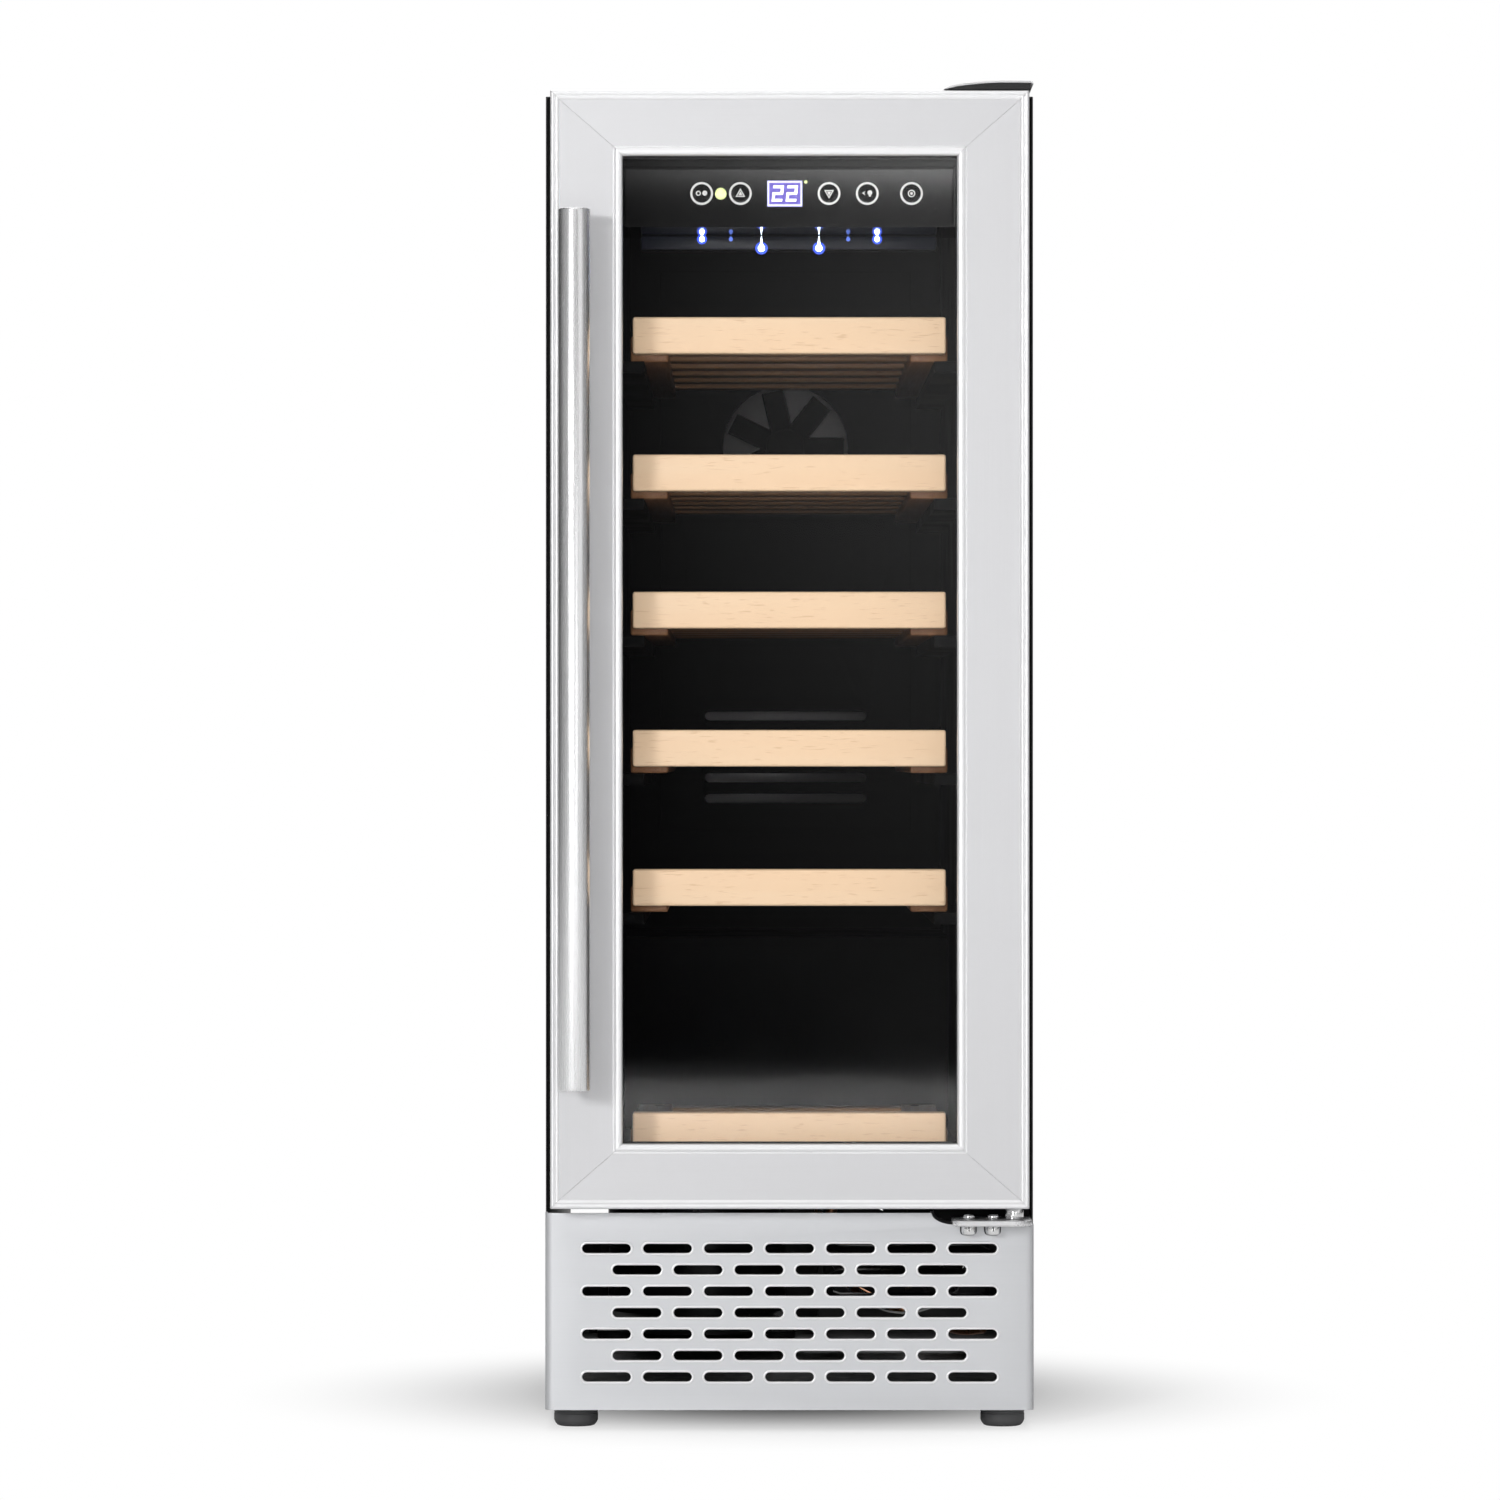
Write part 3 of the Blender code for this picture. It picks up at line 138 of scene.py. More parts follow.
# Top hinge cover: its curve as distances from the left end and above its seat
COVER_SHEET = 0.0011
COVER_CURVE = (
    (0.0, 0.0004), (0.0040, 0.0021), (0.0090, 0.0032), (0.0150, 0.0039), (0.0210, 0.0045), (0.0270, 0.0050),
    (0.0340, 0.0052), (0.0460, 0.0052), (0.0525, 0.0051), (0.0540, 0.0042),
)

# Controls
BUTTONS = ("unit", "up", "down", "light", "power")
RING_OUTER = 0.0070
RING_INNER = 0.0057
PRINT_THICKNESS = 0.00012
DIGIT_HEIGHT = 0.0098
DIGIT_WIDTH = 0.0064
DIGIT_PITCH = 0.0086
SEGMENT_WIDTH = 0.0016
LED_RADIUS = 0.0021
# The lit tail above each LED lens and the glowing blue disc round the brighter ones are painted glare and
# glow
LED_GLARE_TAIL = 4.2
LED_TAIL_REACH = 0.0002
LED_GLOW_DISC = (1.75, 1.85)
LED_LEVELS = {
    1.0: ("led_lenses", "led"),
    0.6: ("led_lenses_outer", "led"),
    0.25: ("led_lenses_weak", "led_weak"),
}
LED_PLACES = {-0.0540: 0.6, -0.0360: 0.25, -0.0170: 1.0, 0.0188: 1.0, 0.0370: 0.25, 0.0550: 0.6}

# Racks
RACK_COUNT = 6
RAIL_BAR = 0.023
SLAT_BAR = 0.030
SLAT_HEIGHT = 0.011
SLAT_LAP = 0.001
SLAT_GAP = 0.0005
SLAT_DROP = 0.0008
SHORT_RACK_DEPTH = 0.3
BOARD_ROUNDING = 0.0016
RAIL_ROUNDING = 0.0015
SLAT_ROUNDING = 0.0018
RACK_SCREW_INSET = RAIL_BAR * 0.6
RACK_SCREW = ((0, 0.00005), (0.0010, 0.00005), (0.0012, 0.0003), (0.0024, 0.0004), (0.0030, 0.0), (0, -0.001))

# Compressor mounts: a bolt head over a grooved rubber grommet, as radius and height
MOUNT_REACH = 0.056
MOUNT_DROP = 0.0105
MOUNT_PROFILE = (
    (0, 0.016), (0.0035, 0.016), (0.0045, 0.015), (0.0045, 0.0125), (0.009, 0.0125), (0.010, 0.0115),
    (0.010, 0.008), (0.0085, 0.006), (0.010, 0.004), (0.010, 0), (0, 0),
)

# Terminal cover, as corners from the compressor's side, and the filter drier
TERMINAL_COVER = ((-0.016, -0.022, 0.045), (0.012, 0.022, 0.095))
DRIER_PLACE = (0.040, 0.235, 0.060)
DRIER_PROFILE = (
    (0, 0.110), (0.0030, 0.108), (0.0032, 0.100), (0.0085, 0.092), (0.0095, 0.086), (0.0095, 0.030),
    (0.0085, 0.024), (0.0032, 0.016), (0.0030, 0.006), (0, 0.004),
)

# Condenser fan guard
GUARD_STANDOFF = 0.0016
GUARD_RINGS = (0.013, 0.024, 0.035, 0.046, 0.052)
GUARD_WIRE = 0.0008
GUARD_SPOKE = 0.0010
GUARD_SPOKE_REACH = (0.010, 0.066)

# Back sheet: its pressed fields and its screws
BACK_MARGIN = 0.020
BACK_GAP = 0.016
BACK_FIELDS = 3
BACK_SCREWS = 6
BACK_SCREW_INSET = (0.008, 0.012)

SHARP_ANGLE = math.radians(38)
WELD = 0.00001
SIDES = {"bottom": 0, "right": 1, "top": 2, "left": 3}
FLAT_FACE = len(OUTER_BEAD) - 1

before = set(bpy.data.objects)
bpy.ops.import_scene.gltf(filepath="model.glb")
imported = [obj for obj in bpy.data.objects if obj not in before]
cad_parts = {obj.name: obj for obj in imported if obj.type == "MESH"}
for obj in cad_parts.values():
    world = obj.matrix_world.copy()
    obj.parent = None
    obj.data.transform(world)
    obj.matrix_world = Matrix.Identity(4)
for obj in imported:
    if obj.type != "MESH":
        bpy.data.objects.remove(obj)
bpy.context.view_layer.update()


# ---------------- node helpers


def add_node(tree, kind, inputs=None, **settings):
    """A shader node with its settings; each input is a value or a socket to link."""
    node = tree.nodes.new(kind)
    for key, value in settings.items():
        setattr(node, key, value)
    for key, value in (inputs or {}).items():
        if isinstance(value, bpy.types.NodeSocket):
            tree.links.new(value, node.inputs[key])
        else:
            node.inputs[key].default_value = value
    return node


def surface(name, colour, roughness, metallic=0.0, **uniform):
    """A material on one Principled shader, with its uniform values set on their sockets."""
    material = bpy.data.materials.new(name)
    material.use_nodes = True
    tree = material.node_tree
    shader = tree.nodes["Principled BSDF"]
    shader.inputs["Base Color"].default_value = (*colour, 1)
    shader.inputs["Roughness"].default_value = roughness
    shader.inputs["Metallic"].default_value = metallic
    for key, value in uniform.items():
        shader.inputs[key.replace("_", " ").title().replace("Ior", "IOR")].default_value = value
    return material, tree, shader


def noise(tree, scale, detail=3.0, coarse=0.5):
    """Noise in object space; scale is features per metre along X, Y and Z."""
    place = add_node(tree, "ShaderNodeTexCoord")
    stretch = add_node(tree, "ShaderNodeMapping", {"Vector": place.outputs["Object"], "Scale": scale})
    texture = add_node(
        tree,
        "ShaderNodeTexNoise",
        {"Vector": stretch.outputs["Vector"], "Scale": 1.0, "Detail": detail, "Roughness": coarse},
    )
    return texture.outputs["Fac"]


def cells(tree, scale):
    """Rounded cells in object space; scale is cells per metre."""
    place = add_node(tree, "ShaderNodeTexCoord")
    return add_node(tree, "ShaderNodeTexVoronoi", {"Vector": place.outputs["Object"], "Scale": scale})


def remap(tree, factor, low, high, start=0.3, end=0.7, kind="LINEAR"):
    """Spread a factor's range from start to end over low to high."""
    spread = add_node(
        tree,
        "ShaderNodeMapRange",
        {"Value": factor, "From Min": start, "From Max": end, "To Min": low, "To Max": high},
        interpolation_type=kind,
    )
    return spread.outputs["Result"]


def multiply(tree, first, second):
    return add_node(tree, "ShaderNodeMath", {0: first, 1: second}, operation="MULTIPLY").outputs[0]


def coordinates(tree, kind):
    """X, Y and Z of a point, in object space or along a sky direction."""
    place = add_node(tree, "ShaderNodeTexCoord")
    return add_node(tree, "ShaderNodeSeparateXYZ", {"Vector": place.outputs[kind]}).outputs


def blend_colour(tree, factor, first, second):
    """A colour between two others, each a colour or a socket."""
    mix = add_node(tree, "ShaderNodeMix", data_type="RGBA")
    inputs = {0: factor, 6: first, 7: second}
    for index, value in inputs.items():
        if isinstance(value, bpy.types.NodeSocket):
            tree.links.new(value, mix.inputs[index])
        else:
            mix.inputs[index].default_value = (*value, 1)
    return mix.outputs[2]


def paint(tree, shader, colour, roughness=None):
    """Link a shader's colour and, where it is given, its roughness."""
    tree.links.new(colour, shader.inputs["Base Color"])
    if roughness:
        tree.links.new(roughness, shader.inputs["Roughness"])


def bump(tree, shader, height, distance, strength=1.0):
    relief = add_node(
        tree, "ShaderNodeBump", {"Height": height, "Distance": distance, "Strength": strength}
    )
    tree.links.new(relief.outputs["Normal"], shader.inputs["Normal"])


def shade(colour, factor):
    return tuple(channel * factor for channel in colour)


# ---------------- finishes


def brushed_metal(name, along, colour, roughness, metallic=0.92, contrast=0.05):
    """Metal with fine brush lines along one axis (0, 1 or 2) and slow, faint patches."""
    material, tree, shader = surface(name, colour, roughness, metallic)
    scale = [1500.0, 1500.0, 1500.0]
    scale[along] = 14.0
    lines = noise(tree, scale, 4.0, 0.6)
    patches = noise(tree, (9, 9, 9), 2.0)
    fine = blend_colour(tree, remap(tree, lines, 0, 1), shade(colour, 1 - contrast), colour)
    tinted = blend_colour(tree, remap(tree, patches, 0, 0.5), fine, shade(colour, 0.97))
    paint(tree, shader, tinted, remap(tree, lines, roughness - 0.05, roughness + 0.06))
    bump(tree, shader, lines, 0.00003, 0.35)
    return material


def moulded(name, colour, roughness, grain=2600.0, depth=0.00004, specular=0.5):
    """Moulded plastic, paint or rubber with a fine grain and a slightly uneven sheen."""
    material, tree, shader = surface(name, colour, roughness, specular_ior_level=specular)
    texture = noise(tree, (grain, grain, grain), 3.0, 0.6)
    clouds = noise(tree, (18, 18, 18), 3.0)
    uneven = blend_colour(tree, remap(tree, clouds, 0, 1), shade(colour, 0.85), shade(colour, 1.12))
    paint(tree, shader, uneven, remap(tree, clouds, roughness * 0.9, min(roughness * 1.12, 1.0)))
    bump(tree, shader, texture, depth, 0.5)
    return material


def galvanised(name, colour, roughness):
    """Zinc-coated sheet with its spangle of crystal facets."""
    material, tree, shader = surface(name, colour, roughness, 0.9)
    spangle = cells(tree, 130.0).outputs["Color"]
    facet = add_node(tree, "ShaderNodeSeparateColor", {"Color": spangle}).outputs
    tone = blend_colour(tree, facet["Red"], shade(colour, 0.82), shade(colour, 1.12))
    paint(tree, shader, tone, remap(tree, facet["Green"], roughness - 0.08, roughness + 0.12, 0, 1))
    bump(tree, shader, noise(tree, (900, 900, 900)), 0.00004, 0.4)
    return material


def wood(name, along, pale, dark, fleck):
    """Beech with its grain along one axis: soft bands, fine fibres and short dark ray flecks."""
    material, tree, shader = surface(name, pale, 0.42, coat_weight=0.12, coat_roughness=0.25)
    bands = [70.0, 70.0, 70.0]
    fibres = [1300.0, 1300.0, 1300.0]
    dashes = [950.0, 950.0, 950.0]
    bands[along], fibres[along], dashes[along] = 2.2, 22.0, 110.0
    band = noise(tree, bands, 3.0, 0.55)
    fibre = noise(tree, fibres, 3.0, 0.6)
    dash = noise(tree, dashes, 1.0)
    ground = blend_colour(tree, remap(tree, band, 0, 1), dark, pale)
    lined = blend_colour(tree, remap(tree, fibre, 0, 0.35, 0.4, 0.75), ground, dark)
    marked = blend_colour(tree, remap(tree, dash, 0, 0.55, 0.64, 0.72), lined, fleck)
    paint(tree, shader, marked, remap(tree, fibre, 0.36, 0.50))
    bump(tree, shader, fibre, 0.00004, 0.4)
    return material


def smoked_glass(name, alpha):
    """Clear glass with a smoke tint; its gloss is set by the index, as alpha dims it."""
    material, tree, shader = surface(name, (0.004, 0.004, 0.005), 0.03, ior=3.0, alpha=alpha)
    waves = noise(tree, (2.5, 2.5, 2.5), 1.0)
    tree.links.new(remap(tree, waves, 0.025, 0.04), shader.inputs["Roughness"])
    return material


def lit(name, colour, strength, dim=0.75):
    """A lit face whose colour is a little uneven across it."""
    material, tree, shader = surface(name, colour, 0.3)
    uneven = blend_colour(tree, remap(tree, noise(tree, (400, 400, 400)), 0, 1), shade(colour, dim), colour)
    tree.links.new(uneven, shader.inputs["Emission Color"])
    paint(tree, shader, uneven)
    shader.inputs["Emission Strength"].default_value = strength
    return material


def foamed(name, colour):
    """Cut polyurethane foam: small open cells."""
    material, tree, shader = surface(name, colour, 0.92)
    depth = cells(tree, 420.0).outputs["Distance"]
    paint(tree, shader, blend_colour(tree, remap(tree, depth, 0, 1, 0, 0.7), colour, shade(colour, 0.7)))
    bump(tree, shader, depth, 0.0006, 0.7)
    return material


def circuit_board(name):
    """Green lacquer over copper tracks, as a fine brick pattern."""
    material, tree, shader = surface(name, (0.01, 0.12, 0.04), 0.35)
    place = add_node(tree, "ShaderNodeTexCoord")
    turn = add_node(
        tree, "ShaderNodeMapping", {"Vector": place.outputs["Object"], "Rotation": (math.pi / 2, 0, 0)}
    )
    tracks = add_node(
        tree,
        "ShaderNodeTexBrick",
        {
            "Vector": turn.outputs["Vector"],
            "Scale": 120.0,
            "Mortar Size": 0.03,
            "Color1": (0.01, 0.14, 0.05, 1),
            "Color2": (0.01, 0.10, 0.035, 1),
            "Mortar": (0.10, 0.30, 0.10, 1),
        },
    )
    paint(tree, shader, tracks.outputs["Color"])
    return material


STEEL = (0.57, 0.57, 0.583)
# BEAD: the frame steel painted lighter, a painted highlight on the door frame's beads, groove, lip and return
BEAD = (0.78, 0.78, 0.79)
SATIN = 0.55
BEECH = (0.93, 0.69, 0.465)

# Each finish's maker, the record's slot, and the maker's settings
FINISHES = {
    "steel_across": (brushed_metal, "stainless_steel", 0, STEEL, 0.50, SATIN),
    "steel_up": (brushed_metal, "stainless_steel", 2, STEEL, 0.50, SATIN),
    # Lighter copies of the frame steel for its beads: a painted highlight
    "bead_steel_across": (brushed_metal, "stainless_steel", 0, BEAD, 0.34, 0.5),
    "bead_steel_up": (brushed_metal, "stainless_steel", 2, BEAD, 0.34, 0.5),
    "kick_steel": (brushed_metal, "stainless_steel", 0, (0.575, 0.583, 0.60), 0.50, SATIN),
    # Darkened copy of the kick plate steel for the hinge well's flare: painted shade in the recess
    "flare_steel": (brushed_metal, "stainless_steel", 0, (0.16, 0.16, 0.165), 0.35, 0.8),
    # Lighter copy of the kick plate steel for the slot rims: a painted highlight
    "rim_steel": (brushed_metal, "stainless_steel", 0, (0.80, 0.80, 0.81), 0.38, 0.6),
    "handle_steel": (brushed_metal, "stainless_steel", 2, (0.88, 0.88, 0.89), 0.27, 0.9, 0.03),
    "polished": (brushed_metal, "hinge_steel", 1, (0.86, 0.86, 0.86), 0.16, 1.0),
    "hinge_plate": (brushed_metal, "stainless_steel", 0, (0.66, 0.66, 0.67), 0.28, 0.6),
    "aluminium": (brushed_metal, "aluminium", 2, (0.66, 0.66, 0.67), 0.35),
    "copper": (brushed_metal, "hinge_steel", 2, (0.58, 0.27, 0.14), 0.30, 1.0),
    "galvanised": (galvanised, "galvanised_steel", (0.50, 0.51, 0.52), 0.42),
    # Galvanised sheet darkened far below bright zinc for the base pan: painted shade in the machine
    # compartment behind the kick plate's slots
    "pan_zinc": (galvanised, "galvanised_steel", (0.13, 0.13, 0.135), 0.50),
    "cabinet": (moulded, "cabinet_paint", (0.012, 0.012, 0.013), 0.42, 900.0),
    # liner and inside fan: black plastic darkened far below its own black, with little gloss: painted shade
    # inside the cabinet and in the hinge well
    "liner": (moulded, "liner_plastic", (0.0012, 0.0012, 0.0013), 0.55, 1400.0, 0.00004, 0.1),
    "inside_fan": (moulded, "fan_plastic", (0.0016, 0.0016, 0.0016), 0.5, 900.0, 0.00004, 0.1),
    "black_steel": (moulded, "black_steel", (0.010, 0.010, 0.011), 0.28, 700.0),
    "door_plastic": (moulded, "door_plastic", (0.014, 0.014, 0.015), 0.48),
    "rubber": (moulded, "gasket_rubber", (0.018, 0.018, 0.019), 0.65, 3200.0),
    "foot": (moulded, "foot_plastic", (0.060, 0.060, 0.062), 0.50, 1800.0),
    "fascia": (moulded, "fascia_plastic", (0.002, 0.002, 0.002), 0.05, 3000.0, 0.0000002, 0.65),
    "button": (moulded, "button_plastic", (0.008, 0.008, 0.008), 0.16, 600.0, 0.000004),
    "print": (moulded, "button_plastic", (0.88, 0.88, 0.86), 0.45),
    "fan": (moulded, "fan_plastic", (0.020, 0.020, 0.020), 0.42),
    "grey_clip": (moulded, "liner_plastic", (0.10, 0.10, 0.10), 0.5),
    "tray": (moulded, "tray_plastic", (0.50, 0.50, 0.49), 0.50),
    "socket": (moulded, "socket_plastic", (0.016, 0.016, 0.016), 0.40),
    "wire": (moulded, "socket_plastic", (0.02, 0.02, 0.02), 0.45),
    "light_bar": (moulded, "light_bar", (0.012, 0.014, 0.022), 0.35),
    "foam": (foamed, "foam", (0.75, 0.66, 0.46)),
    "board": (circuit_board, "circuit_board"),
    "outer_glass": (smoked_glass, "door_glass", 0.045),
    "inner_glass": (smoked_glass, "door_glass", 0.01),
    "beech": (wood, "beech", 0, BEECH, (0.92, 0.65, 0.42), (0.70, 0.44, 0.25)),
    "dark_rail": (wood, "dark_beech", 1, (0.30, 0.15, 0.07), (0.20, 0.09, 0.04), (0.08, 0.03, 0.01)),
    "dark_slat": (wood, "dark_beech", 0, (0.34, 0.18, 0.09), (0.24, 0.12, 0.05), (0.09, 0.04, 0.02)),
    "display": (lit, "display", (0.62, 0.60, 1.0), 0.95, 0.9),
    "display_dark": (lit, "display", (0.16, 0.13, 0.50), 0.8),
    "digit": (lit, "display", (1.0, 1.0, 1.0), 1.5, 0.95),
    "lamp": (lit, "lamp", (0.82, 0.90, 0.42), 0.9),
    "led": (lit, "light_bar", (0.70, 0.82, 1.0), 9.0, 0.95),
    # Blue disc round the brighter LEDs: painted glow
    "led_halo": (lit, "light_bar", (0.05, 0.10, 0.75), 1.3, 0.6),
    "led_weak": (lit, "light_bar", (0.12, 0.20, 0.70), 1.2, 0.8),
}
finishes = {
    name: (maker("finish_" + name, *settings), slot) for name, (maker, slot, *settings) in FINISHES.items()
}

# CAD nodes that stay in view, each with its finish and the width of its softened edges
CAD_FINISHES = {
    "cabinet_wrap": ("cabinet", 0.0004),
    "inner_liner": ("liner", 0.0),
    "insulation_foam": ("foam", 0.0),
    "base_pan": ("pan_zinc", 0.0),
    "kick_plate": ("kick_steel", 0.0),
    "top_hinge_bracket": ("black_steel", 0.0004),
    "top_hinge_pin": ("polished", 0.0003),
    "bottom_hinge_pin": ("polished", 0.0005),
    "bottom_hinge_bolt_inner": ("polished", 0.0003),
    "bottom_hinge_bolt_outer": ("polished", 0.0003),
    "control_fascia": ("fascia", 0.0),
    "control_board": ("board", 0.0),
    "display_window": ("display", 0.0002),
    "run_indicator": ("lamp", 0.0003),
    "light_bar": ("light_bar", 0.0),
    "evaporator_plate": ("aluminium", 0.0002),
    "air_duct_cover": ("liner", 0.0005),
    "circulation_fan": ("inside_fan", 0.0),
    "condenser_fan": ("fan", 0.0),
    "condenser_fan_shroud": ("fan", 0.0008),
    "compressor": ("black_steel", 0.0),
    "condenser_coil": ("black_steel", 0.0),
    "drip_tray": ("tray", 0.0006),
    "power_inlet": ("socket", 0.0006),
    "outer_glass": ("outer_glass", 0.0),
    "inner_glass": ("inner_glass", 0.0),
    "glass_spacer": ("aluminium", 0.0002),
    "handle_mount_top": ("handle_steel", 0.0005),
    "handle_mount_bottom": ("handle_steel", 0.0005),
}


def finish_cad_nodes():
    """Give each CAD node that stays in view its finish, smooth shading and softened edges."""
    softened = dict(CAD_FINISHES)
    for name in BUTTONS:
        softened["button_" + name] = ("button", 0.0002)
    for node, (finish, width) in softened.items():
        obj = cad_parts[node]
        for slot in obj.material_slots:
            slot.material = finishes[finish][0]
        obj.data.shade_smooth()
        weld = obj.modifiers.new("Weld", "WELD")
        weld.merge_threshold = WELD
        if width:
            bevel = obj.modifiers.new("Bevel", "BEVEL")
            bevel.width = width
            bevel.segments = 2
            bevel.limit_method = "ANGLE"
            bevel.angle_limit = SHARP_ANGLE
            bevel.harden_normals = True
        else:
            split = obj.modifiers.new("Edge Split", "EDGE_SPLIT")
            split.split_angle = SHARP_ANGLE


# ---------------- mesh builders


def corners(node):
    """A node's lowest and highest corners at rest, as vectors."""
    return tuple(Vector(corner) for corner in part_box(node))


def middle(node):
    """The middle of a node's box in plan, as an upright place at floor height."""
    low, high = corners(node)
    return Matrix.Translation(((low.x + high.x) / 2, (low.y + high.y) / 2, 0))


def place_object(name, data, place=(0, 0, 0)):
    obj = bpy.data.objects.new(name, data)
    obj.location = place
    bpy.context.scene.collection.objects.link(obj)
    return obj


def new_piece(name, bm, finish, body, replaced=()):
    """Turn a bmesh into a piece with its finish, riding on a body."""
    bmesh.ops.recalc_face_normals(bm, faces=bm.faces)
    mesh = bpy.data.meshes.new(name)
    bm.to_mesh(mesh)
    bm.free()
    material, slot = finishes[finish]
    mesh.materials.append(material)
    mesh.shade_smooth()
    mesh.set_sharp_from_angle(angle=SHARP_ANGLE)
    obj = place_object(name, mesh)
    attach(obj, body)
    if replaced:
        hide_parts(*replaced)
    return obj


def add_rounded_box(bm, low, high, radius, segments=3):
    low, high = Vector(low), Vector(high)
    made = bmesh.ops.create_cube(bm, size=1)
    verts = made["verts"]
    bmesh.ops.scale(bm, vec=high - low, verts=verts)
    bmesh.ops.translate(bm, vec=(low + high) / 2, verts=verts)
    edges = list(dict.fromkeys(edge for vert in verts for edge in vert.link_edges))
    bmesh.ops.bevel(bm, geom=edges, offset=radius, segments=segments, profile=0.5, affect="EDGES")


def add_loft(bm, loops, closed=True, round_again=False):
    """Skin a row of equal loops; round_again joins the last loop to the first."""
    rows = [[bm.verts.new(point) for point in loop] for loop in loops]
    pairs = list(zip(rows, rows[1:]))
    if round_again:
        pairs.append((rows[-1], rows[0]))
    count = len(rows[0])
    for first, second in pairs:
        for index in range(count if closed else count - 1):
            after = (index + 1) % count
            bm.faces.new((first[index], first[after], second[after], second[index]))
    return rows


def add_lathe(bm, profile, transform, steps=48):
    """Turn (radius, height) points about local Z; a zero radius closes an end."""
    def ring(radius, height):
        return [
            transform @ Vector((
                radius * math.cos(math.tau * step / steps),
                radius * math.sin(math.tau * step / steps),
                height,
            ))
            for step in range(steps)
        ]
    rows = add_loft(bm, [ring(max(radius, 1e-6), height) for radius, height in profile])
    bm.faces.new(rows[0])
    bm.faces.new(rows[-1])


def add_prism(bm, outline, transform, low, high):
    """Extrude a closed outline between two heights along local Z."""
    floor = [transform @ Vector((u, v, low)) for u, v in outline]
    top = [transform @ Vector((u, v, high)) for u, v in outline]
    rows = add_loft(bm, [floor, top])
    bm.faces.new(rows[0])
    bm.faces.new(rows[1])


def add_band(bm, outer, inner, transform, low, high):
    """A flat band between two equal outlines, extruded along local Z."""
    loops = []
    for outline, height in ((outer, low), (outer, high), (inner, high), (inner, low)):
        loops.append([transform @ Vector((u, v, height)) for u, v in outline])
    add_loft(bm, loops, round_again=True)


def add_tube(bm, points, radius, sides=12, closed=False):
    """Sweep a circle along points, keeping its turn steady from one to the next."""
    points = [Vector(point) for point in points]
    count = len(points)
    side = None
    loops = []
    for index, point in enumerate(points):
        before = points[(index - 1) % count] if closed or index else point
        after = points[(index + 1) % count] if closed or index < count - 1 else point
        forward = (after - before).normalized()
        if side is None:
            side = forward.orthogonal().normalized()
        side = (side - forward * side.dot(forward)).normalized()
        up = forward.cross(side)
        loops.append([
            point + radius * (math.cos(angle) * side + math.sin(angle) * up)
            for angle in (math.tau * step / sides for step in range(sides))
        ])
    rows = add_loft(bm, loops, round_again=closed)
    if not closed:
        bm.faces.new(rows[0])
        bm.faces.new(rows[-1])


def rounded_path(points, radius, steps=5):
    """A polyline with each inner corner eased by a small curve."""
    points = [Vector(point) for point in points]
    path = [points[0]]
    for before, corner, after in zip(points, points[1:], points[2:]):
        reach = min(radius, (corner - before).length / 2.1, (after - corner).length / 2.1)
        start = corner + (before - corner).normalized() * reach
        end = corner + (after - corner).normalized() * reach
        for step in range(steps + 1):
            share = step / steps
            path.append((1 - share) ** 2 * start + 2 * share * (1 - share) * corner + share ** 2 * end)
    path.append(points[-1])
    return path


def circle(radius, steps=40, centre=(0, 0)):
    return [
        (
            centre[0] + radius * math.cos(math.tau * step / steps),
            centre[1] + radius * math.sin(math.tau * step / steps),
        )
        for step in range(steps)
    ]


def obround(length, height, steps=8):
    """A slot outline about the origin, with half-round ends."""
    radius = height / 2
    reach = length / 2 - radius
    points = []
    for side, start in ((1, -math.pi / 2), (-1, math.pi / 2)):
        for step in range(steps + 1):
            angle = start + math.pi * step / steps
            points.append((side * reach + radius * math.cos(angle), radius * math.sin(angle)))
    return points


def facing_front(x, y, z):
    """A place whose local X, Y and Z point to world X, Z and -Y."""
    return Matrix.Translation((x, y, z)) @ Matrix.Rotation(math.pi / 2, 4, "X")


def facing_back(x, y, z):
    """A place whose local Z points to world +Y."""
    return Matrix.Translation((x, y, z)) @ Matrix.Rotation(-math.pi / 2, 4, "X")


def ring_corners(low, high, inset_x, inset_z, depth):
    """The four corners of a rectangle in the front plane, inset and set back."""
    return [
        Vector((low.x + inset_x, depth, low.z + inset_z)),
        Vector((high.x - inset_x, depth, low.z + inset_z)),
        Vector((high.x - inset_x, depth, high.z - inset_z)),
        Vector((low.x + inset_x, depth, high.z - inset_z)),
    ]


# ---------------- door


def make_frame_sections():
    """The four mitred stainless sections: rolled outer bead, flat face, groove and inner lip."""
    boxes = {side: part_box("door_frame_" + side) for side in SIDES}
    low = Vector((boxes["left"][0][0], 0, boxes["bottom"][0][2]))
    high = Vector((boxes["right"][1][0], 0, boxes["top"][1][2]))
    front = boxes["top"][0][1]
    stile = boxes["left"][1][0] - boxes["left"][0][0]
    rail = boxes["top"][1][2] - boxes["top"][0][2]
    insets = [(inset, inset, depth) for inset, depth in OUTER_BEAD]
    insets += [(stile - inset, rail - inset, depth) for inset, depth in INNER_LIP]
    insets += [(inset, inset, depth) for inset, depth in OUTER_RETURN]
    rings = [ring_corners(low, high, inset_x, inset_z, front + depth) for inset_x, inset_z, depth in insets]
    for side, index in SIDES.items():
        after = (index + 1) % 4
        along = (rings[0][after] - rings[0][index]).normalized() * MITRE_GAP
        bm = bmesh.new()
        ends = add_loft(
            bm,
            [[ring[index] + along for ring in rings], [ring[after] - along for ring in rings]],
        )
        for end in ends:
            bm.faces.new(end)
        finish = "steel_across" if side in ("top", "bottom") else "steel_up"
        # All bands but the flat face take the lighter steel: a painted highlight along the beads, groove, lip
        # and return
        for index, face in enumerate(list(bm.faces)[:len(rings) - 1]):
            face.material_index = int(index != FLAT_FACE)
        section = new_piece(f"frame_section_{side}", bm, finish, "door", [f"door_frame_{side}"])
        section.data.materials.append(finishes["bead_" + finish][0])
        section.data.polygons[FLAT_FACE].use_smooth = False


